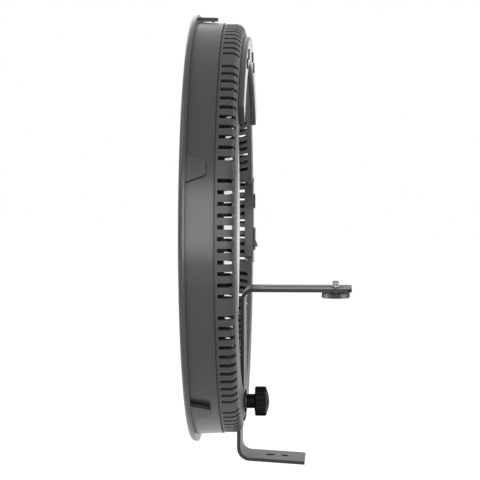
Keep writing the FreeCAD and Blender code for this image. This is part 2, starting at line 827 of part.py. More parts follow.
def make_slots():
    """Every slot of the cover, as one set of cutters: ten groups of eleven, twice over."""
    slots = new_body("Slots")
    # A slot ends with the first flat of the shoulder
    slot_end = rounded(S.band_radius, S.ring_depth, S.shoulder_round, 1, 1)[-2][1] - S.seat_gap / 2
    outer = pad(slots, "OuterSlot", "XY_Plane",
                [rectangle(S.band_radius - S.outer_slot_reach, S.band_radius + S.overrun,
                           -(S.slot_width / 2), S.slot_width / 2)],
                slot_end - S.slot_start, S.slot_start)
    inner = pad(slots, "InnerSlot", "XY_Plane",
                [rectangle(S.bore_radius - S.overrun, S.bore_radius + S.inner_slot_reach,
                           -(S.slot_width / 2), S.slot_width / 2)],
                slot_end - S.inner_slot_start, S.inner_slot_start)
    pattern = slots.newObject("PartDesign::MultiTransform", "SlotGroups")
    group = slots.newObject("PartDesign::PolarPattern", "SlotGroup")
    group.Axis = (origin_plane(slots, "Z_Axis"), [""])
    bind(group, "Angle", S.slot_pitch * (S.slots_in_group - 1))
    bind(group, "Occurrences", S.slots_in_group)
    ring = slots.newObject("PartDesign::PolarPattern", "SlotRing")
    ring.Axis = (origin_plane(slots, "Z_Axis"), [""])
    ring.Angle = FULL_TURN
    bind(ring, "Occurrences", S.slot_groups)
    pattern.Originals = [outer, inner]
    pattern.Transformations = [group, ring]
    slots.Tip = pattern
    first = S.slot_pitch.number * (S.slots_in_group.number - 1) / 2
    return place(slots, rotation=Rotation(Vector(0, 0, 1), -first))


def make_case_screws():
    head_seat = S.well_mouth + S.well_web
    pieces = []
    for i, clock in enumerate(well_clocks()):
        u, v = on_clock(S.well_place, clock)
        pieces.append(peg(f"CaseHead{i}", S.case_head_radius, S.case_head_height, u, v, head_seat))
        pieces.append(peg(f"CaseShank{i}", S.case_shank_radius, S.case_screw_length + S.case_head_height,
                          u, v, head_seat - S.case_screw_length))
    keep(place_on_ring(fuse("CaseScrews", *pieces)), "case_screws")


# Control panel

def make_panel():
    face_rear = S.ring_depth + S.panel_height
    face_inner = face_rear - S.overlay_thick - S.panel_wall
    shell = new_body("PanelShell")
    revolve(shell, "PanelSection", [
        (S.panel_inner, S.ring_depth + S.seat_gap),
        (S.panel_outer, S.ring_depth + S.seat_gap),
        *reversed(rounded(S.panel_outer, face_rear, S.panel_round, 1, 1)),
        *rounded(S.panel_inner, face_rear, S.panel_round, -1, 1)], S.panel_span)
    hollow = new_body("PanelHollow")
    revolve(hollow, "PanelHollowSection", rectangle(
        S.panel_inner + S.panel_wall, S.panel_outer - S.panel_wall,
        S.ring_depth - S.overrun, face_inner), S.panel_span - S.panel_end_wall * 2)
    recess = new_body("PanelRecess")
    revolve(recess, "PanelRecessSection", rectangle(
        S.panel_inner + S.overlay_margin, S.panel_outer - S.overlay_margin,
        face_rear - S.overlay_thick, face_rear + S.overrun), S.overlay_span)
    turn_up = Rotation(Vector(0, 0, 1), -TOP)
    holes = panel_holes("Panel", face_inner - S.overrun, S.overrun * 3)
    posts, bores = panel_posts(face_inner)
    for item in (shell, hollow, recess):
        place(item, rotation=turn_up)
    hollowed = cut("PanelCase", shell, hollow, recess, *holes)
    case = cut("PanelHousing", fuse("PanelWithPosts", hollowed, *posts), *bores)
    keep(place_on_ring(case), "panel_housing")

    sheet_blank = new_body("OverlaySheet")
    revolve(sheet_blank, "OverlaySection", rectangle(
        S.panel_inner + S.overlay_margin + S.seat_gap, S.panel_outer - S.overlay_margin - S.seat_gap,
        face_rear - S.overlay_thick, face_rear), S.overlay_span - S.seat_gap)
    place(sheet_blank, rotation=turn_up)
    holes = panel_holes("Overlay", face_inner - S.overrun, S.overrun * 3)
    keep(place_on_ring(cut("PanelOverlay", sheet_blank, *holes)), "panel_overlay")

    middle = panel_middle()
    fit = S.seat_gap * 2
    window = new_body("DisplayPane")
    pad(window, "Pane", "XY_Plane", [centred(ZERO, -middle, S.display_wide - fit, S.display_high - fit)],
        face_rear - face_inner, face_inner)
    keep(place_on_ring(window), "display_window")
    make_control_board(face_inner, middle)
    for node, clock in button_clocks().items():
        make_button(node, clock, face_inner, face_rear)


def panel_middle():
    return (S.panel_inner + S.panel_outer) / 2


def button_clocks():
    """Two buttons each side of the display."""
    first = S.button_first_angle.number
    second = first + S.button_pitch_angle.number
    return {
        "power_button": TOP + second,
        "mode_button": TOP + first,
        "dimmer_down_button": TOP - first,
        "dimmer_up_button": TOP - second}


def panel_holes(name, depth, length):
    """Cutters for the display window and the four buttons."""
    middle = panel_middle()
    cutters = [box(f"{name}Window", -(S.display_wide / 2), S.display_wide / 2,
                   -middle - S.display_high / 2, -middle + S.display_high / 2, depth, depth + length)]
    for i, clock in enumerate(button_clocks().values()):
        cutters.append(rod(f"{name}Hole{i}", S.button_radius + S.button_clearance, length,
                           *on_clock(middle, clock), depth))
    return cutters


def post_clocks():
    outer = S.post_angle.number
    inner = S.inner_post_angle.number
    return [TOP - outer, TOP - inner, TOP + inner, TOP + outer]


def panel_posts(face_inner):
    """Posts that reach down from the panel to carry the control board."""
    board_rear = S.control_board_front + S.board_thick + S.seat_gap
    posts = []
    bores = []
    for i, clock in enumerate(post_clocks()):
        u, v = on_clock(panel_middle(), clock)
        posts.append(peg(f"Post{i}", S.post_radius, face_inner - board_rear + S.seat_gap, u, v, board_rear))
        bores.append(peg(f"PostBore{i}", S.post_bore, S.panel_screw_length, u, v, board_rear - S.seat_gap))
    return posts, bores


def board_screw(name, u, v, board_front):
    """A screw that holds a small board on its post, with the head on the board's front."""
    head_front = board_front - S.panel_screw_head_height
    return [peg(f"{name}Head", S.panel_screw_head, S.panel_screw_head_height, u, v, head_front),
            peg(f"{name}Shank", S.panel_screw_shank, S.panel_screw_length, u, v, head_front)]


def make_control_board(face_inner, middle):
    front = S.control_board_front
    rear = front + S.board_thick
    blank = new_body("ControlBlank")
    margin = S.cutout_margin + S.control_board_margin
    revolve(blank, "ControlSection", rectangle(
        S.panel_inner + margin, S.panel_outer - margin, front, rear), S.control_board_span)
    place(blank, rotation=Rotation(Vector(0, 0, 1), -TOP))
    holes = [peg(f"ControlHole{i}", S.post_bore + S.seat_gap, S.overrun,
                 *on_clock(panel_middle(), clock), front - S.overrun / 4)
             for i, clock in enumerate(post_clocks())]
    keep(place_on_ring(cut("ControlBoard", blank, *holes)), "control_board")

    screws = []
    for i, clock in enumerate(post_clocks()):
        screws += board_screw(f"PanelScrew{i}", *on_clock(panel_middle(), clock), front)
    keep(place_on_ring(fuse("PanelScrews", *screws)), "panel_screws")

    module = new_body("Display")
    pad(module, "DisplayBlock", "XY_Plane",
        [centred(ZERO, -middle, S.display_module_wide, S.display_module_high)],
        face_inner - S.seat_gap - rear, rear)
    keep(place_on_ring(module), "display_module")

    switches = []
    bores = []
    stem_bore = S.button_stem_radius + S.button_clearance
    half = S.switch_width / 2
    for i, clock in enumerate(button_clocks().values()):
        u, v = on_clock(middle, clock)
        switches.append(box(f"Switch{i}", u - half, u + half, v - half, v + half,
                            rear, rear + S.switch_height))
        bores.append(peg(f"SwitchBore{i}", stem_bore, S.switch_height, u, v, rear + S.switch_floor))
    keep(place_on_ring(cut("KeySwitches", fuse("SwitchBlocks", *switches), *bores)), "key_switches")


def make_button(node, clock, face_inner, face_rear):
    """A key cap with a flange that keeps it in the panel and a stem that works its switch."""
    u, v = on_clock(panel_middle(), clock)
    flange_rear = face_inner - S.seat_gap
    switch_floor = S.control_board_front + S.board_thick + S.switch_floor
    stem_front = switch_floor + S.button_travel + S.button_clearance
    cap = rod(f"{node}_cap", S.button_radius, face_rear + S.button_proud - flange_rear + S.seat_gap,
              u, v, flange_rear - S.seat_gap)
    flange = peg(f"{node}_flange", S.button_flange_radius, S.button_flange_thick,
                 u, v, flange_rear - S.button_flange_thick)
    stem = peg(f"{node}_stem", S.button_stem_radius, flange_rear - stem_front, u, v, stem_front)
    keep(place_on_ring(fuse(node.title().replace("_", ""), cap, flange, stem)), node)


# Power inlet on the far side

def inlet_spot(angle):
    return on_clock(S.inlet_place, FAR_SIDE + angle.number)


def make_inlet():
    block = new_body("InletBlock")
    revolve(block, "InletSection", [
        (S.inlet_inner, S.inlet_front),
        (S.inlet_outer, S.inlet_front),
        (S.inlet_outer, S.ring_depth + S.seat_gap),
        (S.inlet_outer + S.inlet_lip, S.ring_depth + S.seat_gap),
        *reversed(rounded(S.inlet_outer + S.inlet_lip, S.inlet_rear, S.inlet_round, 1, 1)),
        *rounded(S.inlet_inner, S.inlet_rear, S.inlet_round, -1, 1)], S.inlet_span)
    hollow = new_body("InletHollow")
    revolve(hollow, "InletHollowSection", rectangle(
        S.inlet_inner + S.inlet_wall, S.inlet_outer - S.inlet_wall,
        S.inlet_front - S.overrun, S.inlet_rear - S.inlet_wall), S.inlet_span - S.panel_end_wall * 2)
    for item in (block, hollow):
        place(item, rotation=Rotation(Vector(0, 0, 1), FAR_SIDE))
    u, v = inlet_spot(S.rocker_angle)
    body_wide = S.rocker_frame_wide - S.rocker_frame_rim * 2
    body_high = S.rocker_frame_high - S.rocker_frame_rim * 2
    rocker_hole = box("RockerHole", u - body_wide / 2, u + body_wide / 2,
                      v - body_high / 2, v + body_high / 2,
                      S.inlet_rear - S.overrun, S.inlet_rear + S.overrun)
    su, sv = inlet_spot(S.socket_angle)
    socket_hole = rod("SocketHole", S.socket_radius, S.overrun * 2, su, sv, S.inlet_rear - S.overrun)
    keep(place_on_ring(cut("InletHousing", block, hollow, rocker_hole, socket_hole)), "inlet_housing")


def make_rocker():
    u, v = inlet_spot(S.rocker_angle)
    half_wide = S.rocker_frame_wide / 2
    half_high = S.rocker_frame_high / 2
    in_wide = half_wide - S.rocker_frame_rim - S.seat_gap
    in_high = half_high - S.rocker_frame_rim - S.seat_gap
    rear = S.inlet_rear + S.rocker_frame_thick
    front = S.inlet_rear - S.rocker_body_depth
    rim = box("RockerRim", u - half_wide, u + half_wide, v - half_high, v + half_high, S.inlet_rear, rear)
    can = box("RockerCan", u - in_wide, u + in_wide, v - in_high, v + in_high, front, rear)
    well_wide = in_wide - S.rocker_frame_rim / 2
    well_high = in_high - S.rocker_frame_rim / 2
    well = box("RockerWell", u - well_wide, u + well_wide, v - well_high, v + well_high,
               front + S.rocker_frame_rim, rear + S.overrun)
    keep(place_on_ring(cut("RockerFrame", fuse("RockerSolid", rim, can), well)), "rocker_frame")

    # The paddle dips in the middle and swings about its pivot, half a swing each way at rest
    paddle = new_body("Paddle")
    long_half = well_high - S.rocker_gap
    wide_half = well_wide - S.rocker_gap
    belly = S.rocker_body_depth - S.rocker_frame_rim - S.rocker_gap * 2
    pad(paddle, "PaddleSide", "YZ_Plane", [[
        (-long_half, S.rocker_proud),
        (-long_half, ZERO),
        (ZERO, -belly),
        (long_half, ZERO),
        (long_half, S.rocker_proud),
        (ZERO, S.rocker_rise)]], wide_half * 2, middle=True)
    place_on_ring(paddle)
    tilt = Rotation(Vector(1, 0, 0), S.rocker_swing.number)
    turned = Rotation(Vector(1, 0, 0), -TOP) * tilt
    place(paddle, u, S.inlet_rear - S.hole_to_front, S.ring_height - v, turned)
    keep(paddle, "power_rocker")


def make_socket():
    u, v = inlet_spot(S.socket_angle)
    rear = S.inlet_rear + S.socket_proud
    front = S.inlet_rear - S.socket_depth
    barrel = rod("SocketBarrel", S.socket_radius - S.seat_gap, rear - front, u, v, front)
    collar = rod("SocketCollar", S.socket_radius + S.socket_proud, S.socket_proud, u, v, S.inlet_rear)
    bore_front = rear - S.socket_bore_depth
    bore = rod("SocketBore", S.socket_bore, S.socket_bore_depth + S.overrun, u, v, bore_front)
    pin = rod("SocketPin", S.socket_pin, S.socket_bore_depth, u, v, bore_front - S.socket_proud / 2)
    shell = cut("SocketShell", fuse("SocketSolid", barrel, collar), bore)
    keep(place_on_ring(fuse("DcSocket", shell, pin)), "dc_socket")


# Driver board, on posts of the rear cover behind the light board

def driver_post_places():
    reach = S.driver_span.number / 2 - S.driver_post_inset.number
    clocks = [S.driver_angle.number - reach, S.driver_angle.number + reach]
    inset = S.driver_post_radius + S.seat_gap
    return [on_clock(radius, clock) for clock in clocks
            for radius in (S.driver_inner + inset, S.driver_outer - inset)]


def make_driver():
    rear = S.driver_front + S.board_thick
    blank = new_body("DriverBlank")
    revolve(blank, "DriverSection", rectangle(
        S.driver_inner, S.driver_outer, S.driver_front, rear), S.driver_span)
    place(blank, rotation=Rotation(Vector(0, 0, 1), -S.driver_angle.number))
    holes = [peg(f"DriverHole{i}", S.post_bore + S.seat_gap, S.board_thick + S.overrun,
                 u, v, S.driver_front - S.overrun / 2)
             for i, (u, v) in enumerate(driver_post_places())]
    keep(place_on_ring(cut("DriverBoard", blank, *holes)), "driver_board")

    screws = []
    for i, (u, v) in enumerate(driver_post_places()):
        screws += board_screw(f"DriverScrew{i}", u, v, S.driver_front)
    keep(place_on_ring(fuse("DriverScrews", *screws)), "driver_screws")

    middle = (S.driver_inner + S.driver_outer) / 2
    turn = S.driver_angle.number
    coil_at = on_clock(middle, turn)
    can_at = on_clock(middle, turn + S.driver_part_pitch.number)
    plug_at = on_clock(middle, turn - S.driver_part_pitch.number)
    half = S.driver_plug_size / 2
    parts = [peg("Choke", S.driver_choke_radius, S.driver_choke_height, *coil_at, rear),
             peg("Capacitor", S.driver_can_radius, S.driver_can_height, *can_at, rear),
             box("Connector", plug_at[0] - half, plug_at[0] + half,
                 plug_at[1] - half, plug_at[1] + half, rear, rear + S.driver_choke_height)]
    keep(place_on_ring(fuse("DriverParts", *parts)), "driver_parts")


# Foot and camera brackets, bent from flat plate

def below(distance):
    """Height of a place that lies below the ring centre."""
    return S.ring_height - distance


def behind(depth):
    """How far back from the stand hole a depth on the ring lies."""
    return depth - S.hole_to_front


def foot_screw_places():
    side = S.foot_screw_side
    return [(x, low) for x in (-side, side) for low in (S.foot_screw_low, S.foot_screw_high)]


def make_foot():
    front = behind(S.channel_floor + S.slide_gap)
    rear = front + S.plate
    fall = tangent(S.foot_lean)
    thick = S.plate / cosine(S.foot_lean)
    end = front + S.foot_length
    end_top = end + S.plate * sine(S.foot_lean)
    foot = new_body("Foot")
    pad(foot, "FootSide", "YZ_Plane", [[
        (front, below(S.foot_top)),
        (front, -(front * fall)),
        (end, -(end * fall)),
        (end_top, S.plate * cosine(S.foot_lean) - end * fall),
        (rear, thick - rear * fall),
        (rear, below(S.foot_top))]], S.bracket_width, middle=True)
    half = S.bracket_width / 2
    round_edges(foot, "FootOuterBend", S.foot_bend, is_along(0, (front, -(front * fall))))
    round_edges(foot, "FootInnerBend", S.foot_bend - S.plate, is_along(0, (rear, thick - rear * fall)))
    corner = is_along(1, (half, below(S.foot_top)), (-half, below(S.foot_top)))
    round_edges(foot, "FootTopCorners", S.bracket_corner, corner)
    lean = Rotation(Vector(1, 0, 0), -S.foot_lean.number)
    run = S.plate + S.overrun * 2
    tilt_y = sine(S.foot_lean)
    tilt_z = cosine(S.foot_lean)
    stand = rod("StandHole", S.stand_hole, run, ZERO, -(S.overrun * tilt_y), -(S.overrun * tilt_z), lean)
    second = rod("SecondHole", S.second_hole, run,
                 ZERO, S.second_hole_back * tilt_z - S.overrun * tilt_y,
                 -(S.second_hole_back * tilt_y) - S.overrun * tilt_z, lean)
    back = Rotation(Vector(1, 0, 0), -TOP)
    stud = rod("FootStudHole", S.stud_radius + S.stud_clearance, run,
               ZERO, front - S.overrun, below(S.clamp_below), back)
    seats = []
    for i, (x, low) in enumerate(foot_screw_places()):
        shank = S.foot_screw_shank + S.screw_hole_gap
        seats.append(peg(f"FootScrewHole{i}", shank, run, x, front - S.overrun, below(low), back))
        seats.append(peg(f"FootScrewSeat{i}", S.foot_screw_head + S.screw_hole_gap,
                         S.foot_screw_head_height + S.overrun,
                         x, rear - S.foot_screw_head_height, below(low), back))
    keep(cut("FootBracket", foot, stand, second, stud, *seats), "foot_bracket")


def make_foot_screws():
    back = Rotation(Vector(1, 0, 0), -TOP)
    rear = behind(S.channel_floor + S.slide_gap) + S.plate
    pieces = []
    for i, (x, low) in enumerate(foot_screw_places()):
        pieces.append(peg(f"FootScrewHead{i}", S.foot_screw_head, S.foot_screw_head_height - S.seat_gap,
                          x, rear - S.foot_screw_head_height, below(low), back))
        pieces.append(peg(f"FootScrewShank{i}", S.foot_screw_shank,
                          S.foot_screw_length - S.foot_screw_head_height,
                          x, rear - S.foot_screw_length, below(low), back))
    keep(fuse("FootScrews", *pieces), "foot_screws")


def make_backing_plate():
    rear = behind(S.channel_floor - S.wall - S.seat_gap)
    front = rear - S.backing_thick
    half = S.backing_width / 2
    plate = box("BackingBlank", -half, half, front, rear, below(S.backing_low), below(S.backing_high))
    back = Rotation(Vector(1, 0, 0), -TOP)
    holes = [rod("BackingStudHole", S.stud_radius + S.stud_clearance, S.backing_thick + S.overrun * 2,
                 ZERO, front - S.overrun, below(S.clamp_below), back)]
    for i, (x, low) in enumerate(foot_screw_places()):
        holes.append(peg(f"BackingHole{i}", S.foot_screw_shank + S.screw_hole_gap,
                         S.backing_thick + S.overrun * 2, x, front - S.overrun, below(low), back))
    keep(cut("BackingPlate", plate, *holes), "backing_plate")


def make_clamp():
    back = Rotation(Vector(1, 0, 0), -TOP)
    height = below(S.clamp_below)
    plate_front = behind(S.channel_floor - S.wall - S.seat_gap) - S.backing_thick
    head_front = plate_front - S.seat_gap - S.stud_head_height
    stud = fuse("ClampStud",
                rod("StudHead", S.stud_head_radius, S.stud_head_height, ZERO, head_front, height, back),
                rod("StudShank", S.stud_radius, behind(S.stud_end) - head_front,
                    ZERO, head_front, height, back))
    keep(stud, "clamp_stud")

    bore = S.stud_radius + S.stud_clearance
    washer_front = behind(S.leg_rear) + S.slide_gap
    washer_rear = washer_front + S.washer_thick
    washer = cut("ClampWasher",
                 rod("WasherDisc", S.washer_radius, S.washer_thick, ZERO, washer_front, height, back),
                 rod("WasherBore", bore, S.overrun * 2, ZERO, washer_front - S.overrun, height, back))
    keep(washer, "clamp_washer")

    # The knob is turned about its own Z, with a crowned face and a dip between lobes
    knob = new_body("Knob")
    neck_front = washer_rear
    neck = behind(S.neck_end) - neck_front
    crown = S.knob_depth
    pad(knob, "Head", "XY_Plane", [(ZERO, ZERO, S.knob_radius)], crown, neck)
    dip = pocket(knob, "Dip", "XY_Plane", [(S.knob_dip_place, ZERO, S.knob_dip_radius)],
                 crown + S.overrun, neck, backwards=True)
    polar(knob, "Dips", [dip], S.knob_lobes)
    pad(knob, "Neck", "XY_Plane", [(ZERO, ZERO, S.neck_radius)], neck + S.seat_gap)
    pocket(knob, "KnobBore", "XY_Plane", [(ZERO, ZERO, bore)], behind(S.stud_end) - neck_front + S.slide_gap,
           backwards=True)
    place(knob, ZERO, neck_front, height, back)
    dome = new_body("KnobCrown")
    rim_depth = neck + crown - S.knob_crown
    revolve(dome, "CrownCut", [
        (ZERO, neck + crown),
        (S.knob_radius / 2, neck + crown),
        (S.knob_radius + S.seat_gap, rim_depth),
        (S.knob_radius + S.overrun, rim_depth),
        (S.knob_radius + S.overrun, neck + crown + S.overrun),
        (ZERO, neck + crown + S.overrun)])
    place(dome, ZERO, neck_front, height, back)
    keep(cut("ClampKnob", knob, dome), "clamp_knob")


def make_camera_bracket():
    # The leg slides on the foot's leg
    rear = behind(S.leg_rear)
    front = rear - S.plate
    top = below(S.shelf_below)
    under = top - S.plate
    end = behind(S.shelf_end)
    bracket = new_body("CameraBracket")
    pad(bracket, "BracketSide", "YZ_Plane", [[
        (front, top),
        (front, below(S.leg_end)),
        (rear, below(S.leg_end)),
        (rear, under),
        (end, under),
        (end, top)]], S.bracket_width, middle=True)
    half = S.bracket_width / 2
    round_edges(bracket, "ShelfOuterBend", S.shelf_bend, is_along(0, (front, top)))
    round_edges(bracket, "ShelfInnerBend", S.shelf_bend - S.plate, is_along(0, (rear, under)))
    round_edges(bracket, "LegCorners", S.bracket_corner,
                is_along(1, (half, below(S.leg_end)), (-half, below(S.leg_end))))
    round_edges(bracket, "ShelfCorners", S.bracket_corner, is_along(2, (half, end), (-half, end)))
    back = Rotation(Vector(1, 0, 0), -TOP)
    run = S.plate + S.overrun * 2
    leg_half = S.leg_slot_width / 2
    low = below(S.leg_slot_low) + leg_half
    high = below(S.leg_slot_high) - leg_half
    leg_slot = [
        box("LegSlot", -leg_half, leg_half, front - S.overrun, rear + S.overrun, low, high),
        rod("LegSlotLow", leg_half, run, ZERO, front - S.overrun, low, back),
        rod("LegSlotHigh", leg_half, run, ZERO, front - S.overrun, high, back)]
    shelf_half = S.shelf_slot_width / 2
    slot_front = behind(S.shelf_slot_front) + shelf_half
    slot_rear = behind(S.shelf_slot_rear) - shelf_half
    shelf_slot = [
        box("ShelfSlot", -shelf_half, shelf_half, slot_front, slot_rear, under - S.overrun, top + S.overrun),
        rod("ShelfSlotFront", shelf_half, run, ZERO, slot_front, under - S.overrun),
        rod("ShelfSlotRear", shelf_half, run, ZERO, slot_rear, under - S.overrun)]
    keep(cut("CameraPlate", bracket, fuse("LegSlotTool", *leg_slot), fuse("ShelfSlotTool", *shelf_slot)),
         "camera_bracket")


def make_camera_screw():
    y = behind(S.camera_screw_depth)
    washer_low = below(S.shelf_below) - S.plate - S.slide_gap - S.camera_washer_thick
    dial_low = washer_low - S.seat_gap - S.dial_height
    bore = S.camera_screw_radius + S.stud_clearance
    shelf_top = below(S.shelf_below)
    washer = cut("CameraWasher",
                 rod("CameraWasherDisc", S.camera_washer_radius, S.camera_washer_thick, ZERO, y, washer_low),
                 rod("CameraWasherBore", bore, S.overrun * 2, ZERO, y, washer_low - S.overrun / 2))
    keep(washer, "screw_washer")

    thread_low = shelf_top + S.seat_gap
    shank_low = dial_low + S.dial_edge
    screw = fuse("CameraScrew",
                 rod("CameraThread", S.camera_screw_radius, S.camera_screw_proud - S.seat_gap,
                     ZERO, y, thread_low),
                 rod("CameraShank", S.camera_shank_radius, shelf_top - shank_low + S.camera_screw_proud / 2,
                     ZERO, y, shank_low))
    keep(screw, "camera_screw")

    dial = new_body("ScrewDial")
    revolve(dial, "DialDisc", [
        (ZERO, ZERO),
        (S.dial_radius - S.dial_edge, ZERO),
        (S.dial_radius, S.dial_edge),
        (S.dial_radius, S.dial_height - S.dial_edge),
        (S.dial_radius - S.dial_edge, S.dial_height),
        (ZERO, S.dial_height)])
    mouth = S.dial_radius + S.dial_edge
    spread = S.dial_notch_width / 2 * (S.dial_notch_depth + S.dial_edge) / S.dial_notch_depth
    notch = pocket(dial, "DialNotch", "XY_Plane", [[
        (S.dial_radius - S.dial_notch_depth, ZERO), (mouth, -spread), (mouth, spread)]],
        S.dial_height + S.overrun, backwards=True)
    polar(dial, "DialNotches", [notch], S.dial_notches)
    place(dial, ZERO, y, dial_low)
    hole = rod("DialHole", S.camera_shank_radius, S.dial_height, ZERO, y, shank_low)
    keep(cut("CameraDial", dial, hole), "camera_screw_dial")


def build():
    make_bezel_ring()
    make_diffuser()
    make_front_housing()
    make_led_board()
    make_case_screws()
    make_panel()
    make_inlet()
    make_rocker()
    make_socket()
    make_driver()
    make_foot()
    make_foot_screws()
    make_backing_plate()
    make_clamp()
    make_camera_bracket()
    make_camera_screw()
    make_rear_cover()


def check_and_export():
    doc.recompute()
    for item in doc.Objects:
        bad = {"Invalid", "Error"} & set(item.State)
        assert not bad, f"{item.Name}: {bad}"
    os.makedirs("parts", exist_ok=True)
    for node, item in sub_parts.items():
        shape = item.Shape
        assert not shape.isNull(), f"{node}: no shape"
        assert shape.isValid(), f"{node}: shape is not valid"
        assert shape.Solids, f"{node}: no solid"
        shape.exportStep(f"parts/{node}.step")
        print(f"{node}: {len(shape.Solids)} solids, {shape.Volume / 1000:.1f} cm3")


build()
check_and_export()
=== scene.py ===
"""Looks of the LED ring light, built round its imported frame.

The ring's lit front faces -Y, the camera shelf reaches back along +Y and +Z is up. Lengths are
metres. Most solids stay as they are, with a finish of their own and softened edges. Four shells
are shown by closer copies of themselves, and the opal bore wall gets a short lip. The small
turned, cut and printed things are made here: thread, dial, knob, screw recesses, marks, digits
and the socket's pin.
"""
import json
import math

import bmesh
import bpy
from mathutils import Matrix, Quaternion, Vector
from mathutils.bvhtree import BVHTree


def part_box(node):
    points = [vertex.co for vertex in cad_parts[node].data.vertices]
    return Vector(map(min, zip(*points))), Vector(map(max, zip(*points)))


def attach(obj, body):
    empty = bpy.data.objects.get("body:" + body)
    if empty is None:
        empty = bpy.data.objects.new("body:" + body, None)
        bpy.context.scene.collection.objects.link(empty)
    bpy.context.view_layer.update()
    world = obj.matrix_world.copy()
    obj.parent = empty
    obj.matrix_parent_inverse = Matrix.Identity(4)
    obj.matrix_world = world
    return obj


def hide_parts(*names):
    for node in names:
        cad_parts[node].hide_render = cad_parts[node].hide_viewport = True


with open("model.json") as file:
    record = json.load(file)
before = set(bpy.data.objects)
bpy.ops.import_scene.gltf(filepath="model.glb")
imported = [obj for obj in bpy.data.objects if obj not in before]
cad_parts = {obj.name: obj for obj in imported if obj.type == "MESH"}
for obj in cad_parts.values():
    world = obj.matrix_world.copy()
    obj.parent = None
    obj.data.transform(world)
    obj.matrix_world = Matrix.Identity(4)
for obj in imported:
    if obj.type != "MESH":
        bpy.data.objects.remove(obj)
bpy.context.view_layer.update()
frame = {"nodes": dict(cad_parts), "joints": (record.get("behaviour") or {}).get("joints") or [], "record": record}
NODES = frame["nodes"]
SLOT_OF = {row["node"]: row["material_slot"] for row in frame["record"]["subparts"]}
SHADES = {}                      # materials by name
MM = 0.001
FULL_TURN = math.tau
QUARTER_TURN = math.pi / 2
CIRCLE = 360                     # degrees
FACING_BACK = Matrix.Rotation(-QUARTER_TURN, 4, "X")     # turns what was made along +Z to +Y


def middle_of(node):
    low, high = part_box(node)
    return (low + high) / 2


RING_CENTRE = middle_of("bezel_ring")
RING_CENTRE.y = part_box("bezel_ring")[0].y        # on the axis, in the front plane


def added(name, data):
    """A new object in the scene."""
    item = bpy.data.objects.new(name, data)
    bpy.context.scene.collection.objects.link(item)
    return item


def finished(made, name):
    """Turns a working mesh into a plain one."""
    mesh = bpy.data.meshes.new(name)
    made.to_mesh(mesh)
    made.free()
    return mesh


# Camera at the photograph's angle

PHOTO_SIZE = 480
PHOTO_MIDDLE = PHOTO_SIZE / 2
RING_SPOT_PX = (194.05, 228.1)   # where the middle of the ring's front plane lies in the photograph
FOCAL_PX = 2021
CAMERA_DISTANCE = 1.787
CAMERA_YAW = 2.74                # degrees behind the ring's plane
CAMERA_RISE = 3.13               # degrees above the ring's middle
CAMERA_ROLL = 0.05
SENSOR = 36.0


def make_camera():
    """A long lens that looks at the ring's edge, with no shift."""
    yaw, rise = math.radians(CAMERA_YAW), math.radians(CAMERA_RISE)
    back = Vector((math.cos(yaw) * math.cos(rise), math.sin(yaw) * math.cos(rise), math.sin(rise)))
    right = Vector((-math.sin(yaw), math.cos(yaw), 0))
    up = back.cross(right)
    roll = Quaternion(back, math.radians(CAMERA_ROLL))
    right.rotate(roll)
    up.rotate(roll)
    metres_per_px = CAMERA_DISTANCE / FOCAL_PX
    across = (PHOTO_MIDDLE - RING_SPOT_PX[0]) * metres_per_px
    upward = (RING_SPOT_PX[1] - PHOTO_MIDDLE) * metres_per_px
    data = bpy.data.cameras.new("photo_camera")
    data.sensor_width = SENSOR
    data.lens = SENSOR * FOCAL_PX / PHOTO_SIZE
    camera = added("photo_camera", data)
    turn = Matrix((right, up, back)).transposed()
    camera.matrix_world = Matrix.Translation(
        RING_CENTRE + right * across + up * upward + back * CAMERA_DISTANCE) @ turn.to_4x4()
    bpy.context.scene.camera = camera


# Floor, world and lamps

FLOOR_HEIGHT = -0.25             # the light stands clear of the floor, as on a stand
FLOOR_RADIUS = 14.0
FLOOR_STEPS = 64
FLOOR_COLOUR = 0.45
FLOOR_GLOW = 0.72                # what the floor adds for the camera, so that it meets the white world
AMBIENT = 0.62

# Name, azimuth and elevation in degrees, distance, width and height in metres, watts
LAMPS = [
    ("side_softbox", 92, 4, 2.2, 1.1, 1.7, 22.0),
    ("front_strip", 70, 5, 2.2, 0.25, 1.7, 14.0),
    ("front_softbox", 20, 35, 2.4, 1.4, 1.4, 6.0),
    ("rear_softbox", 200, 30, 2.4, 1.4, 1.4, 8.0),
    ("far_softbox", 290, 20, 2.6, 1.4, 1.4, 5.0),
]


def direction(azimuth, elevation):
    """Where a view from this azimuth and elevation stands, as a unit vector."""
    turn, rise = math.radians(azimuth), math.radians(elevation)
    return Vector((math.sin(turn) * math.cos(rise), -math.cos(turn) * math.cos(rise), math.sin(rise)))


def make_lamps():
    for name, azimuth, elevation, distance, wide, high, watts in LAMPS:
        data = bpy.data.lights.new(name, "AREA")
        data.shape = "RECTANGLE"
        data.size = wide
        data.size_y = high
        data.energy = watts
        lamp = added(name, data)
        away = direction(azimuth, elevation)
        lamp.rotation_mode = "QUATERNION"
        lamp.rotation_quaternion = away.to_track_quat("Z", "Y")
        lamp.location = RING_CENTRE + away * distance


def seen_directly(tree):
    """One for camera, glossy and transmitted rays, nought for the rest."""
    path = tree.nodes.new("ShaderNodeLightPath")
    mirrored = link_math(tree, "MAXIMUM", path.outputs["Is Camera Ray"], path.outputs["Is Glossy Ray"])
    return link_math(tree, "MAXIMUM", mirrored, path.outputs["Is Transmission Ray"])


def link_math(tree, operation, first, second=0.0):
    node = tree.nodes.new("ShaderNodeMath")
    node.operation = operation
    for socket, value in zip(node.inputs, (first, second)):
        if isinstance(value, bpy.types.NodeSocket):
            tree.links.new(value, socket)
        else:
            socket.default_value = value
    return node.outputs["Value"]


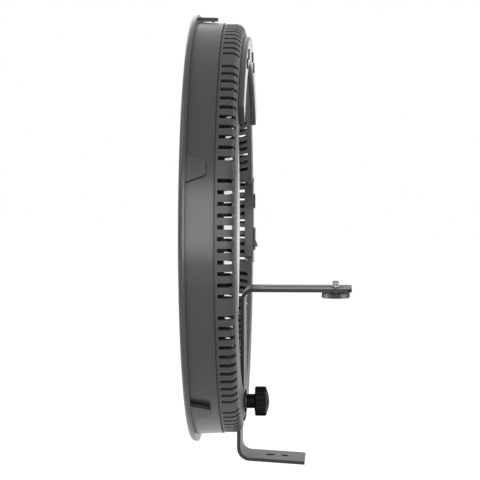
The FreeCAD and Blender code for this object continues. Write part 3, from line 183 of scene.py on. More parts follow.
def make_world():
    world = bpy.data.worlds.new("studio")
    bpy.context.scene.world = world
    world.use_nodes = True
    tree = world.node_tree
    tree.nodes.clear()
    shown = tree.nodes.new("ShaderNodeBackground")
    ambient = tree.nodes.new("ShaderNodeBackground")
    ambient.inputs["Strength"].default_value = AMBIENT
    for node in (shown, ambient):
        node.inputs["Color"].default_value = (1, 1, 1, 1)
    mixed = tree.nodes.new("ShaderNodeMixShader")
    tree.links.new(seen_directly(tree), mixed.inputs["Fac"])
    tree.links.new(ambient.outputs["Background"], mixed.inputs[1])
    tree.links.new(shown.outputs["Background"], mixed.inputs[2])
    output = tree.nodes.new("ShaderNodeOutputWorld")
    tree.links.new(mixed.outputs["Shader"], output.inputs["Surface"])


def make_floor():
    shade = bpy.data.materials.new("pale_floor")
    shade.use_nodes = True
    tree = shade.node_tree
    tree.nodes.clear()
    matt = tree.nodes.new("ShaderNodeBsdfDiffuse")
    matt.inputs["Color"].default_value = (FLOOR_COLOUR, FLOOR_COLOUR, FLOOR_COLOUR, 1)
    glow = tree.nodes.new("ShaderNodeEmission")
    strength = link_math(tree, "MULTIPLY", seen_directly(tree), FLOOR_GLOW)
    tree.links.new(strength, glow.inputs["Strength"])
    total = tree.nodes.new("ShaderNodeAddShader")
    tree.links.new(matt.outputs["BSDF"], total.inputs[0])
    tree.links.new(glow.outputs["Emission"], total.inputs[1])
    output = tree.nodes.new("ShaderNodeOutputMaterial")
    tree.links.new(total.outputs["Shader"], output.inputs["Surface"])

    disc = bmesh.new()
    bmesh.ops.create_circle(disc, cap_ends=True, segments=FLOOR_STEPS, radius=FLOOR_RADIUS)
    mesh = finished(disc, "floor")
    mesh.materials.append(shade)
    floor = added("floor", mesh)
    floor.location.z = FLOOR_HEIGHT


# Building blocks of the materials

NOISE_LOW, NOISE_HIGH = 0.3, 0.7         # the usual spread of a noise texture
SMEAR_GRAIN = 22.0               # features per metre, like every grain
SMEAR_DETAIL = 4.0
FINE_DETAIL = 2.0
SMEAR_SHARE, FINE_SHARE = 0.6, 0.4       # of the drift in colour
SMEAR_SHINE, SMEAR_DULL = 0.05, 0.03     # how far a smear takes the roughness down and up
FINE_DULL = 0.04


def put(node, values):
    """Sets a shader node's plain inputs by name."""
    for name, value in values.items():
        node.inputs[name].default_value = value


def mapped(tree, values):
    """The object's own coordinates, through a mapping with these inputs."""
    place = tree.nodes.new("ShaderNodeTexCoord")
    mapping = tree.nodes.new("ShaderNodeMapping")
    put(mapping, values)
    tree.links.new(place.outputs["Object"], mapping.inputs["Vector"])
    return mapping.outputs["Vector"]


def noise(tree, grain, detail, stretch=(1, 1, 1)):
    """A noise texture fixed to the object."""
    node = tree.nodes.new("ShaderNodeTexNoise")
    put(node, {"Scale": grain, "Detail": detail})
    tree.links.new(mapped(tree, {"Scale": stretch}), node.inputs["Vector"])
    return node.outputs["Fac"]


def ranged(tree, source, low, high):
    """Maps a texture's usual spread to a range of plain numbers."""
    node = tree.nodes.new("ShaderNodeMapRange")
    put(node, {"From Min": NOISE_LOW, "From Max": NOISE_HIGH, "To Min": low, "To Max": high})
    tree.links.new(source, node.inputs["Value"])
    return node.outputs["Result"]


def blended(tree, factor, first, second):
    node = tree.nodes.new("ShaderNodeMix")
    node.data_type = "RGBA"
    tree.links.new(factor, node.inputs["Factor"])
    put(node, {"A": (*first, 1), "B": (*second, 1)})
    return node.outputs["Result"]


def scaled(colour, share):
    return [min(1.0, value * share) for value in colour]


def bumped(tree, height, depth_mm):
    node = tree.nodes.new("ShaderNodeBump")
    node.inputs["Distance"].default_value = depth_mm * MM
    tree.links.new(height, node.inputs["Height"])
    return node.outputs["Normal"]


def new_shade(name):
    shade = bpy.data.materials.new(name)
    shade.use_nodes = True
    SHADES[name] = shade
    return shade.node_tree, shade.node_tree.nodes["Principled BSDF"]


def surface(name, colour, roughness, grain, depth_mm, drift=0.16, metal=0.0, specular=0.5,
            stretch=(1, 1, 1), more=None):
    """A moulded, sprayed, printed or plated surface.

    grain is the fine texture's features per metre and depth_mm its height. A broad smear drifts
    the colour and the gloss, as handling and moulding do. more holds further inputs by name.
    """
    tree, shader = new_shade(name)
    put(shader, {"Metallic": metal, "Specular IOR Level": specular})
    put(shader, more or {})
    smear = noise(tree, SMEAR_GRAIN, SMEAR_DETAIL)
    fine = noise(tree, grain, FINE_DETAIL, stretch)
    both = link_math(tree, "ADD", ranged(tree, smear, 0.0, SMEAR_SHARE),
                     ranged(tree, fine, 0.0, FINE_SHARE))
    tree.links.new(blended(tree, both, scaled(colour, 1 - drift), scaled(colour, 1 + drift)),
                   shader.inputs["Base Color"])
    gloss = link_math(tree, "ADD", ranged(tree, smear, roughness - SMEAR_SHINE, roughness + SMEAR_DULL),
                      ranged(tree, fine, 0.0, FINE_DULL))
    tree.links.new(gloss, shader.inputs["Roughness"])
    tree.links.new(bumped(tree, fine, depth_mm), shader.inputs["Normal"])
    return tree, shader


# Finishes by name: most are the record's slots

FINISHES = {
    "rim_plastic": dict(colour=(0.034, 0.034, 0.036), roughness=0.24, grain=1600, depth_mm=0.005),
    "shell_plastic": dict(colour=(0.03, 0.03, 0.031), roughness=0.26, grain=1300, depth_mm=0.005),
    "rear_plastic": dict(colour=(0.03, 0.03, 0.031), roughness=0.44, grain=1300, depth_mm=0.008),
    "component": dict(colour=(0.03, 0.03, 0.03), roughness=0.5, grain=900, depth_mm=0.01),
    "button_rubber": dict(colour=(0.05, 0.05, 0.052), roughness=0.62, grain=2400, depth_mm=0.01),
    "rocker_plastic": dict(colour=(0.02, 0.02, 0.02), roughness=0.26, grain=1100, depth_mm=0.004),
    "socket": dict(colour=(0.022, 0.022, 0.022), roughness=0.4, grain=1500, depth_mm=0.006),
    "knob_plastic": dict(colour=(0.006, 0.006, 0.006), roughness=0.42, grain=1500, depth_mm=0.012,
                         specular=0.1),
    "black_screw": dict(colour=(0.05, 0.05, 0.052), roughness=0.36, grain=2000, depth_mm=0.006,
                        metal=0.7),
    "zinc_steel": dict(colour=(0.6, 0.6, 0.58), roughness=0.3, grain=1200, depth_mm=0.004, metal=1.0),
    "plated_steel": dict(colour=(0.5, 0.5, 0.5), roughness=0.26, grain=1500, depth_mm=0.004,
                         metal=1.0, stretch=(1, 8, 1)),
    "dial_metal": dict(colour=(0.11, 0.11, 0.113), roughness=0.34, grain=1800, depth_mm=0.006,
                       metal=0.6),
    "light_board": dict(colour=(0.84, 0.84, 0.82), roughness=0.4, grain=700, depth_mm=0.004,
                        drift=0.04),
    "led_chip": dict(colour=(0.86, 0.7, 0.2), roughness=0.35, grain=1500, depth_mm=0.004, drift=0.06),
    # Gloss film, faintly brushed by wiping
    "panel_film": dict(colour=(0.014, 0.014, 0.016), roughness=0.14, grain=500, depth_mm=0.002,
                       stretch=(1, 1, 6), more={"Coat Weight": 0.4, "Coat Roughness": 0.06}),
    "smoked_window": dict(colour=(0.05, 0.012, 0.012), roughness=0.08, grain=300, depth_mm=0.001,
                          drift=0.1, more={"Transmission Weight": 0.75, "IOR": 1.49}),
    # Inks, a little uneven
    "white_print": dict(colour=(0.7, 0.7, 0.69), roughness=0.5, grain=3000, depth_mm=0.003, drift=0.08),
    "dark_digit": dict(colour=(0.11, 0.035, 0.03), roughness=0.4, grain=3000, depth_mm=0.003,
                       drift=0.08),
}

# Sprayed powder on steel: fine peel over a slower swell
POWDER = dict(colour=(0.01, 0.01, 0.0105), roughness=0.34, grain=1500, depth_mm=0.014, drift=0.2,
              specular=0.24)
SWELL_GRAIN = 420
SWELL_DETAIL = 1.0
SWELL_MM = 0.03


def powder_coat():
    tree, shader = surface("bracket_steel", **POWDER)
    peel = shader.inputs["Normal"].links[0].from_node
    swell = noise(tree, SWELL_GRAIN, SWELL_DETAIL)
    tree.links.new(bumped(tree, swell, SWELL_MM), peel.inputs["Normal"])


# Milky cover: light soaks in a little, and a fine satin keeps its gloss soft
OPAL = dict(colour=(0.86, 0.86, 0.84), roughness=0.36, grain=1400, depth_mm=0.004, drift=0.02, more={
    "Subsurface Weight": 0.35, "Subsurface Radius": (0.004, 0.004, 0.0035), "Subsurface Scale": 1.0})
# Painted shade: near black on the back of the bore wall, inside the shell, so that the slots look dark
PAINTED_SHADE_COLOUR = (0.004, 0.004, 0.004)
PAINTED_SHADE_START = 1.0 * MM            # outside the bore's surface, like the next
PAINTED_SHADE_END = 6.0 * MM
PAINTED_SHADE_DEPTH = 12.0 * MM           # behind the front plane


def bore_radius():
    return min(math.hypot(vertex.co.x - RING_CENTRE.x, vertex.co.z - RING_CENTRE.z)
               for vertex in NODES["diffuser"].data.vertices)


def painted_shade_behind_bore_wall(tree):
    """One on the back of the bore wall, inside the shell, where the opal is painted near black as painted shade.
    """
    bore = bore_radius()
    place = tree.nodes.new("ShaderNodeTexCoord")
    split = tree.nodes.new("ShaderNodeSeparateXYZ")
    tree.links.new(place.outputs["Object"], split.inputs["Vector"])
    across = link_math(tree, "SUBTRACT", split.outputs["X"], RING_CENTRE.x)
    high = link_math(tree, "SUBTRACT", split.outputs["Z"], RING_CENTRE.z)
    squares = [link_math(tree, "MULTIPLY", value, value) for value in (across, high)]
    reach = link_math(tree, "SQRT", link_math(tree, "ADD", *squares))
    outside = link_math(tree, "GREATER_THAN", reach, bore + PAINTED_SHADE_START)
    inside = link_math(tree, "LESS_THAN", reach, bore + PAINTED_SHADE_END)
    deep = link_math(tree, "GREATER_THAN", split.outputs["Y"], RING_CENTRE.y + PAINTED_SHADE_DEPTH)
    return link_math(tree, "MULTIPLY", link_math(tree, "MULTIPLY", outside, inside), deep)


def opal():
    tree, shader = surface("opal_plastic", **OPAL)
    white = shader.inputs["Base Color"].links[0].from_socket
    # Painted shade mixed over the opal's colour on the back of the bore wall
    painted_shade_mix = tree.nodes.new("ShaderNodeMix")
    painted_shade_mix.data_type = "RGBA"
    put(painted_shade_mix, {"B": (*PAINTED_SHADE_COLOUR, 1)})
    tree.links.new(painted_shade_behind_bore_wall(tree), painted_shade_mix.inputs["Factor"])
    tree.links.new(white, painted_shade_mix.inputs["A"])
    tree.links.new(painted_shade_mix.outputs["Result"], shader.inputs["Base Color"])


# Green mask over copper runs, which stand up a little and show lighter
BOARD_COAT = 0.3
BOARD_RUNS = {"Scale": 160, "Mortar Size": 0.05, "Color1": (0.012, 0.09, 0.035, 1),
              "Color2": (0.014, 0.1, 0.04, 1), "Mortar": (0.03, 0.17, 0.07, 1)}
BOARD_RUN_MM = 0.03
BOARD_GRAIN = 90
BOARD_DETAIL = 3.0
BOARD_ROUGHNESS = (0.25, 0.36)


def circuit_board():
    tree, shader = new_shade("circuit_board")
    put(shader, {"Coat Weight": BOARD_COAT})
    runs = tree.nodes.new("ShaderNodeTexBrick")
    put(runs, BOARD_RUNS)
    tree.links.new(mapped(tree, {"Rotation": (QUARTER_TURN, 0, 0)}), runs.inputs["Vector"])
    tree.links.new(runs.outputs["Color"], shader.inputs["Base Color"])
    gloss = ranged(tree, noise(tree, BOARD_GRAIN, BOARD_DETAIL), *BOARD_ROUGHNESS)
    tree.links.new(gloss, shader.inputs["Roughness"])
    tree.links.new(bumped(tree, runs.outputs["Fac"], BOARD_RUN_MM), shader.inputs["Normal"])


def make_materials():
    for name, finish in FINISHES.items():
        surface(name, **finish)
    powder_coat()
    opal()
    circuit_board()


# Where a node's finish is another than its slot's
FINISH_OF = {"clamp_washer": "black_screw", "rear_cover": "rear_plastic"}


# Softer edges on the solids

SHARP_ANGLE = math.radians(33)
EDGE_STEPS = 2
WELD = 0.0005 * MM

# Edge width in millimetres by node; the rest get the usual one
USUAL_EDGE = 0.25
EDGES = {
    "bezel_ring": 0.5,
    "front_housing": 0.35,
    "rear_cover": 0.4,
    "diffuser": 0.4,
    "foot_bracket": 0.45,
    "camera_bracket": 0.45,
    "rocker_frame": 0.3,
    "power_rocker": 0.5,
    "led_chips": 0.1,
    "display_window": 0.1,
}


def smooth_by_angle():
    """A node group that keeps only the sharper edges sharp."""
    tree = bpy.data.node_groups.new("smooth_by_angle", "GeometryNodeTree")
    tree.interface.new_socket("Geometry", in_out="INPUT", socket_type="NodeSocketGeometry")
    tree.interface.new_socket("Geometry", in_out="OUTPUT", socket_type="NodeSocketGeometry")
    entry = tree.nodes.new("NodeGroupInput")
    leave = tree.nodes.new("NodeGroupOutput")
    own_normals = tree.nodes.new("GeometryNodeRemoveAttribute")
    own_normals.inputs["Name"].default_value = "custom_normal"
    angle = tree.nodes.new("GeometryNodeInputMeshEdgeAngle")
    below = tree.nodes.new("FunctionNodeCompare")
    below.operation = "LESS_THAN"
    below.inputs["B"].default_value = SHARP_ANGLE
    faces = tree.nodes.new("GeometryNodeSetShadeSmooth")
    edges = tree.nodes.new("GeometryNodeSetShadeSmooth")
    edges.domain = "EDGE"
    tree.links.new(entry.outputs["Geometry"], own_normals.inputs["Geometry"])
    tree.links.new(own_normals.outputs["Geometry"], faces.inputs["Geometry"])
    tree.links.new(faces.outputs["Geometry"], edges.inputs["Geometry"])
    tree.links.new(angle.outputs["Unsigned Angle"], below.inputs["A"])
    tree.links.new(below.outputs["Result"], edges.inputs["Shade Smooth"])
    tree.links.new(edges.outputs["Geometry"], leave.inputs["Geometry"])
    return tree


def soften(item, edge_mm, group):
    """Welds a piece, rounds its edges where they have a width, and shades it smoothly."""
    weld = item.modifiers.new("weld", "WELD")
    weld.merge_threshold = WELD
    if edge_mm:
        bevel = item.modifiers.new("edges", "BEVEL")
        bevel.width = edge_mm * MM
        bevel.segments = EDGE_STEPS
        bevel.limit_method = "ANGLE"
        bevel.angle_limit = SHARP_ANGLE
    shade = item.modifiers.new("shade", "NODES")
    shade.node_group = group
    weighted = item.modifiers.new("normals", "WEIGHTED_NORMAL")
    weighted.keep_sharp = True


def dress_nodes(group):
    for node, item in NODES.items():
        mesh = item.data
        mesh.materials.clear()
        mesh.materials.append(SHADES[FINISH_OF.get(node, SLOT_OF[node])])
        soften(item, EDGES.get(node, USUAL_EDGE), group)


# Building blocks of the pieces that are made here

def settle(mesh, name, shade, body, replaced=()):
    """Turns a mesh into a piece that rides on a body."""
    piece = added(name, mesh)
    mesh.materials.clear()
    mesh.materials.append(SHADES[shade])
    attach(piece, body)
    if replaced:
        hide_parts(*replaced)
    return piece


def skinned(name, rows, looped=False):
    """A closed skin through rings of points, capped at both ends or joined from last to first."""
    made = bmesh.new()
    rings = [[made.verts.new(point) for point in row] for row in rows]
    count = len(rows[0])
    for low, high in zip(rings, rings[1:] + (rings[:1] if looped else [])):
        for i in range(count):
            j = (i + 1) % count
            made.faces.new((low[i], low[j], high[j], high[i]))
    if not looped:
        made.faces.new(list(reversed(rings[0])))
        made.faces.new(rings[-1])
    bmesh.ops.recalc_face_normals(made, faces=made.faces)
    return finished(made, name)


def plain(radius):
    """The same radius at every angle."""
    return lambda angle: radius


def zigzag(turns):
    """Goes from one down to nought and back once in each whole turn."""
    return 2 * abs(turns % 1.0 - 0.5)


def ring_row(radius_at, steps, height):
    """Points round Z at one height, at a radius that may change with the angle."""
    angles = [FULL_TURN * i / steps for i in range(steps)]
    return [Vector((radius_at(angle) * math.cos(angle), radius_at(angle) * math.sin(angle), height))
            for angle in angles]


def cut_by(mesh, cutter_meshes):
    """The mesh with the cutters taken away from it."""
    body = added("blank", mesh)
    cutters = [added("cutter", cutter_mesh) for cutter_mesh in cutter_meshes]
    for cutter in cutters:
        taken = body.modifiers.new("taken", "BOOLEAN")
        taken.operation = "DIFFERENCE"
        taken.object = cutter
    evaluated = body.evaluated_get(bpy.context.evaluated_depsgraph_get())
    result = bpy.data.meshes.new_from_object(evaluated)
    for item in (body, *cutters):
        bpy.data.objects.remove(item)
    return result


# Camera screw: a rolled thread above the shelf, a plain shank below it

THREAD_PITCH = 1.27 * MM
THREAD_DEPTH = 0.55 * MM
THREAD_POINT_SHARE = 0.6         # of the thread's depth, by which its last turn narrows
THREAD_CLEAR = 0.3 * MM          # above the shelf, so that it passes over the slot's end
THREAD_ROWS_PER_TURN = 10
THREAD_STEPS = 40
SHANK_RADIUS = 2.5 * MM


def make_camera_screw(group):
    low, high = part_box("camera_screw")
    centre = middle_of("camera_screw")
    radius = (high.x - low.x) / 2
    thread_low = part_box("camera_bracket")[1].z + THREAD_CLEAR
    length = high.z - thread_low

    def thread_row(height):
        """One height of the thread: its radius goes up and down with the angle."""
        taper = min(1.0, (length - height) / THREAD_PITCH)
        phase = height / THREAD_PITCH

        def radius_at(angle):
            groove = THREAD_DEPTH * (1 - zigzag(phase - angle / FULL_TURN))
            return radius - groove - THREAD_DEPTH * THREAD_POINT_SHARE * (1 - taper)
        return ring_row(radius_at, THREAD_STEPS, thread_low + height)

    rows = [ring_row(plain(SHANK_RADIUS), THREAD_STEPS, height) for height in (low.z, thread_low)]
    count = round(length / THREAD_PITCH * THREAD_ROWS_PER_TURN)
    rows += [thread_row(length * i / count) for i in range(count + 1)]
    mesh = skinned("camera_screw_thread", rows)
    mesh.transform(Matrix.Translation((centre.x, centre.y, 0)))
    piece = settle(mesh, "camera_screw_thread", "plated_steel", "camera_screw",
                   ["camera_screw"])
    soften(piece, 0, group)


# Dial of the camera screw, knurled all round with sharp straight teeth

DIAL_TEETH = 60
DIAL_STEPS_PER_TOOTH = 4
DIAL_TOOTH = 0.55 * MM
DIAL_EDGE = 0.7 * MM
DIAL_TURN_IN = DIAL_EDGE / 3     # where the edge's two slopes meet: in from the rim
DIAL_TURN_UP = DIAL_EDGE * 0.45  # and up from the face
DIAL_HUB_SHARE = 0.5             # of the dial's radius
DIAL_HUB_EDGE_SHARE = 1.12       # of the hub's radius
DIAL_DISH = 0.35 * MM


def make_dial(group):
    low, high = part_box("camera_screw_dial")
    centre = middle_of("camera_screw_dial")
    radius = (high.x - low.x) / 2

    def toothed(inset):
        """Teeth fade out towards the chamfers."""
        def radius_at(angle):
            swing = zigzag(angle / FULL_TURN * DIAL_TEETH)
            return radius - inset - max(0.0, DIAL_TOOTH * swing - inset)
        return radius_at

    hub = radius * DIAL_HUB_SHARE
    profile = [
        (plain(hub), low.z + DIAL_DISH),
        (plain(hub * DIAL_HUB_EDGE_SHARE), low.z),
        (toothed(DIAL_EDGE), low.z),
        (toothed(DIAL_TURN_IN), low.z + DIAL_TURN_UP),
        (toothed(0), low.z + DIAL_EDGE),
        (toothed(0), high.z - DIAL_EDGE),
        (toothed(DIAL_TURN_IN), high.z - DIAL_TURN_UP),
        (toothed(DIAL_EDGE), high.z)]
    steps = DIAL_TEETH * DIAL_STEPS_PER_TOOTH
    mesh = skinned("screw_dial", [ring_row(radius_at, steps, height) for radius_at, height in profile])
    mesh.transform(Matrix.Translation((centre.x, centre.y, 0)))
    piece = settle(mesh, "screw_dial", "dial_metal", "camera_screw", ["camera_screw_dial"])
    soften(piece, 0, group)


# Clamp knob: six soft lobes, a crowned rear face and a turned neck

KNOB_LOBES = 6
KNOB_DIP = 2.6 * MM
KNOB_DIP_POWER = 1.6             # above one, so that a dip is narrower than a lobe
KNOB_NECK_RADIUS = 6.35 * MM
KNOB_NECK_SHARE = 0.365          # of the knob's whole length
KNOB_NECK_EDGE = 0.3 * MM
KNOB_NECK_FLARE = 0.6 * MM
KNOB_STEPS = 144
KNOB_EDGE = 1.3 * MM
KNOB_EDGE_STEPS = 4
KNOB_CROWN = 2.6 * MM
KNOB_CROWN_ROWS = 7
KNOB_CROWN_SHARE = 0.97          # of the radius, by which the crown's last row is drawn in


def make_knob(group):
    low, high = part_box("clamp_knob")
    centre = middle_of("clamp_knob")
    radius = (high.z - low.z) / 2
    length = high.y - low.y
    head = length * KNOB_NECK_SHARE
    crown_foot = length - KNOB_CROWN

    def lobed(inset):
        def radius_at(angle):
            swing = (1 + math.cos(angle * KNOB_LOBES)) / 2
            return radius - inset - KNOB_DIP * swing ** KNOB_DIP_POWER
        return radius_at

    def crowned(share):
        outside = lobed(KNOB_EDGE)
        return lambda angle: outside(angle) * (1 - share * KNOB_CROWN_SHARE)

    rows = [(plain(KNOB_NECK_RADIUS - KNOB_NECK_EDGE), 0.0),
            (plain(KNOB_NECK_RADIUS), KNOB_NECK_EDGE),
            (plain(KNOB_NECK_RADIUS), head - KNOB_NECK_FLARE),
            (plain(KNOB_NECK_RADIUS + KNOB_NECK_FLARE), head)]
    quarter = [QUARTER_TURN * i / KNOB_EDGE_STEPS for i in range(KNOB_EDGE_STEPS + 1)]
    rows += [(lobed(KNOB_EDGE * (1 - math.sin(turn))), head + KNOB_EDGE * (1 - math.cos(turn)))
             for turn in quarter]
    rows += [(lobed(KNOB_EDGE * (1 - math.cos(turn))), crown_foot - KNOB_EDGE * (1 - math.sin(turn)))
             for turn in quarter]
    for i in range(1, KNOB_CROWN_ROWS + 1):
        share = i / KNOB_CROWN_ROWS
        rows.append((crowned(share), crown_foot + KNOB_CROWN * math.sin(share * QUARTER_TURN)))
    mesh = skinned("knob_grip", [ring_row(radius_at, KNOB_STEPS, height) for radius_at, height in rows])
    mesh.transform(Matrix.Translation((centre.x, low.y, centre.z)) @ FACING_BACK)
    piece = settle(mesh, "knob_grip", "knob_plastic", "clamp_knob", ["clamp_knob"])
    soften(piece, 0, group)


# Screws with a cross recess, in place of the plain ones that show

# Node, name of the new piece, head's height, shank's radius, whether the head is domed
SCREWS = [
    ("case_screws", "case_screw_set", 2.2 * MM, 1.5 * MM, True),
    ("foot_screws", "foot_screw_set", 1.7 * MM, 2.0 * MM, False),
]
SCREW_STEPS = 32
SCREW_SPIN = 37                  # degrees that each screw is turned further than the one before
TIP_RADIUS_SHARE = 0.6           # of the shank's radius, like the next
TIP_LONG_SHARE = 0.5
DOME_ROWS = 5
DOME_TURN = math.pi * 0.4        # from the head's side towards its top
DOME_FOOT_SHARE = 0.35           # of the head's height, where the dome starts
FLAT_EDGE_SHARE = 0.12           # of the head's height
FLAT_TOP_SHARE = 0.95            # of the head's radius, like the next two
RECESS_WIDE_SHARE = 0.24
RECESS_LONG_SHARE = 1.15
RECESS_TALL_SHARE = 1.4          # of the head's height, for the cutter
RECESS_LIFT_SHARE = 0.15         # of the cutter's height, from the head's top to its middle
SORT_DIGITS = 4                  # tenths of a millimetre, so that screws in a row sort alike


def turned(name, rows):
    """A round form along +Z from pairs of radius and height."""
    return skinned(name, [ring_row(plain(radius), SCREW_STEPS, height) for radius, height in rows])


def screw_mesh(name, head, head_height, shank, length, domed):
    """A screw along +Z with its head at the top and the shank's tip at nought."""
    under = length - head_height
    rows = [(shank * TIP_RADIUS_SHARE, 0.0), (shank, shank * TIP_LONG_SHARE),
            (shank, under), (head, under)]
    if domed:
        for i in range(DOME_ROWS + 1):
            turn = DOME_TURN * i / DOME_ROWS
            rise = DOME_FOOT_SHARE + (1 - DOME_FOOT_SHARE) * math.sin(turn)
            rows.append((head * math.cos(turn), under + head_height * rise))
    else:
        rows += [(head, length - head_height * FLAT_EDGE_SHARE), (head * FLAT_TOP_SHARE, length)]
    return cut_by(turned(name, rows), cross_cutters(head, head_height, length))


def cross_cutters(head, head_height, length):
    """Two blocks that cross in the top of a screw's head."""
    wide, long = head * RECESS_WIDE_SHARE, head * RECESS_LONG_SHARE
    tall = head_height * RECESS_TALL_SHARE
    meshes = []
    for size in ((long, wide), (wide, long)):
        block = bmesh.new()
        bmesh.ops.create_cube(block, size=1.0)
        bmesh.ops.scale(block, vec=(*size, tall), verts=block.verts)
        bmesh.ops.translate(block, vec=(0, 0, length + tall * RECESS_LIFT_SHARE), verts=block.verts)
        meshes.append(finished(block, "recess"))
    return meshes


def islands(node):
    """The lowest and highest corner of each separate solid of a node."""
    mesh = shell_copy(node)
    found = []
    left = set(mesh.verts)
    while left:
        island = {left.pop()}
        edge_front = list(island)
        while edge_front:
            vertex = edge_front.pop()
            for edge in vertex.link_edges:
                other = edge.other_vert(vertex)
                if other in left:
                    left.discard(other)
                    island.add(other)
                    edge_front.append(other)
        low = Vector([min(vertex.co[axis] for vertex in island) for axis in range(3)])
        high = Vector([max(vertex.co[axis] for vertex in island) for axis in range(3)])
        found.append((low, high))
    mesh.free()
    return sorted(found, key=lambda span: (round(span[0].x, SORT_DIGITS), round(span[0].z, SORT_DIGITS)))


def joined(name, meshes):
    total = bmesh.new()
    for mesh in meshes:
        total.from_mesh(mesh)
    return finished(total, name)


def make_screws(node, name, head_height, shank, domed, group):
    """Every screw of a node, heads to the rear, each turned by its own amount."""
    meshes = []
    for i, (low, high) in enumerate(islands(node)):
        head = (high.x - low.x) / 2
        mesh = screw_mesh(f"{name}_{i}", head, head_height, shank, high.y - low.y, domed)
        spin = Matrix.Rotation(math.radians(SCREW_SPIN * i), 4, "Z")
        middle = (low + high) / 2
        mesh.transform(Matrix.Translation((middle.x, low.y, middle.z)) @ FACING_BACK @ spin)
        meshes.append(mesh)
    slot = SLOT_OF[node]
    piece = settle(joined(name, meshes), name, slot, "ring", [node])
    soften(piece, 0, group)


# Closer forms of four shells, each worked from a copy of its solid

def shell_copy(node):
    """A welded copy of a solid's mesh."""
    made = bmesh.new()
    made.from_mesh(NODES[node].data)
    bmesh.ops.remove_doubles(made, verts=made.verts, dist=WELD)
    return made


def settle_shell(mesh, node, name, group):
    """Puts a closer form in the place of its node."""
    slot = SLOT_OF[node]
    piece = settle(mesh, name, FINISH_OF.get(node, slot), "ring", [node])
    soften(piece, EDGES.get(node, USUAL_EDGE), group)


def on_ring(radius, degrees, depth):
    """A point round the ring's axis, this far behind its front plane."""
    turn = math.radians(degrees)
    return RING_CENTRE + Vector((radius * math.cos(turn), depth, radius * math.sin(turn)))


def reach_of(node):
    """How far a node reaches from the ring's axis."""
    return max(math.hypot(vertex.co.x - RING_CENTRE.x, vertex.co.z - RING_CENTRE.z)
               for vertex in NODES[node].data.vertices)


# Rear cover: each outer slot is carried on over the shoulder

SLOT_WIDTH = 3.34 * MM           # a hair narrower than the slot that it carries on
SLOT_PITCH = 3.0                 # degrees
SLOTS_IN_GROUP = 11
SLOT_GROUPS = 10
SLOT_DEPTH = (38.5 * MM, 44.7 * MM)      # start and end of the new length, behind the front plane
SLOT_REACH = (4.6 * MM, 1.5 * MM)        # inside and outside the band
PROBE_DEPTH = 38.0 * MM          # where the solid's own slots are open
PROBE_OUT = 5.0 * MM             # outside the band, where a ray starts
PROBE_OPEN = 7.0 * MM            # a ray that goes further than this has met an open slot


def slot_is_open(tree, band, degrees):
    """Whether a ray from outside the band goes in through a slot here."""
    outside = on_ring(band + PROBE_OUT, degrees, PROBE_DEPTH)
    inward = on_ring(0, degrees, PROBE_DEPTH) - outside
    *_, distance = tree.ray_cast(outside, inward.normalized())
    return distance is None or distance >= PROBE_OPEN


def add_slot_cutter(cutters, band, degrees):
    """Adds the block that one slot is carried on by, made at +X and turned to its place."""
    inside, outside = SLOT_REACH
    start, end = SLOT_DEPTH
    block = bmesh.ops.create_cube(cutters, size=1.0)["verts"]
    bmesh.ops.scale(cutters, vec=(inside + outside, end - start, SLOT_WIDTH), verts=block)
    middle = (band + (outside - inside) / 2, (start + end) / 2, 0)
    bmesh.ops.translate(cutters, vec=middle, verts=block)
    turn = Matrix.Rotation(-math.radians(degrees), 3, "Y")
    bmesh.ops.rotate(cutters, verts=block, cent=(0, 0, 0), matrix=turn)
    bmesh.ops.translate(cutters, vec=RING_CENTRE, verts=block)


def make_rear_shell(group):
    made = shell_copy("rear_cover")
    tree = BVHTree.FromBMesh(made)
    band = reach_of("rear_cover")
    cutters = bmesh.new()
    for number in range(SLOT_GROUPS):
        for i in range(SLOTS_IN_GROUP):
            degrees = CIRCLE / SLOT_GROUPS * number + SLOT_PITCH * (i - (SLOTS_IN_GROUP - 1) / 2)
            if slot_is_open(tree, band, degrees):
                add_slot_cutter(cutters, band, degrees)
    mesh = cut_by(finished(made, "rear_shell"), [finished(cutters, "slot_cutters")])
    settle_shell(mesh, "rear_cover", "rear_shell", group)


# Rim: its snap tabs lie closer to the side wall than in the solid

TAB_PRESS = 1.1 * MM
TAB_START = 5.4 * MM             # behind the front plane
TAB_CLEAR = 1.0 * MM             # outside the side wall
TAB_UNDER = 0.6 * MM             # inside the rim's edge


def make_rim(group):
    made = shell_copy("bezel_ring")
    lowest = reach_of("front_housing") + TAB_CLEAR
    highest = reach_of("bezel_ring") - TAB_UNDER
    for vertex in made.verts:
        offset = vertex.co - RING_CENTRE
        reach = math.hypot(offset.x, offset.z)
        if offset.y > TAB_START and lowest < reach < highest:
            share = (reach - TAB_PRESS) / reach
            vertex.co.x = RING_CENTRE.x + offset.x * share
            vertex.co.z = RING_CENTRE.z + offset.z * share
    settle_shell(finished(made, "rim"), "bezel_ring", "rim", group)


# Crescent: its two ends are drawn in, as in the photograph

CRESCENT_MIDDLE = 90.0           # degrees, the top
CRESCENT_KEPT = 42.0             # degrees each side that stay as they are
CRESCENT_SHARE = 0.69            # of the rest


def make_crescent(node, name, group):
    made = shell_copy(node)
    for vertex in made.verts:
        offset = vertex.co - RING_CENTRE
        turn = math.degrees(math.atan2(offset.z, offset.x)) - CRESCENT_MIDDLE
        past = abs(turn) - CRESCENT_KEPT
        if past > 0:
            drawn_in = CRESCENT_MIDDLE + math.copysign(CRESCENT_KEPT + past * CRESCENT_SHARE, turn)
            vertex.co = on_ring(math.hypot(offset.x, offset.z), drawn_in, offset.y)
    settle_shell(finished(made, name), node, name, group)


# Bore lip: the opal wall shows a little past its seam with the rear cover

LIP_LONG = 3.0 * MM
LIP_THICK = 0.3 * MM
LIP_SUNK = 0.1 * MM              # into the rear cover's bore
LIP_ROOT = LIP_SUNK * 4          # into the end of the diffuser's wall
LIP_EDGE = LIP_THICK / 2
LIP_STEPS = 240


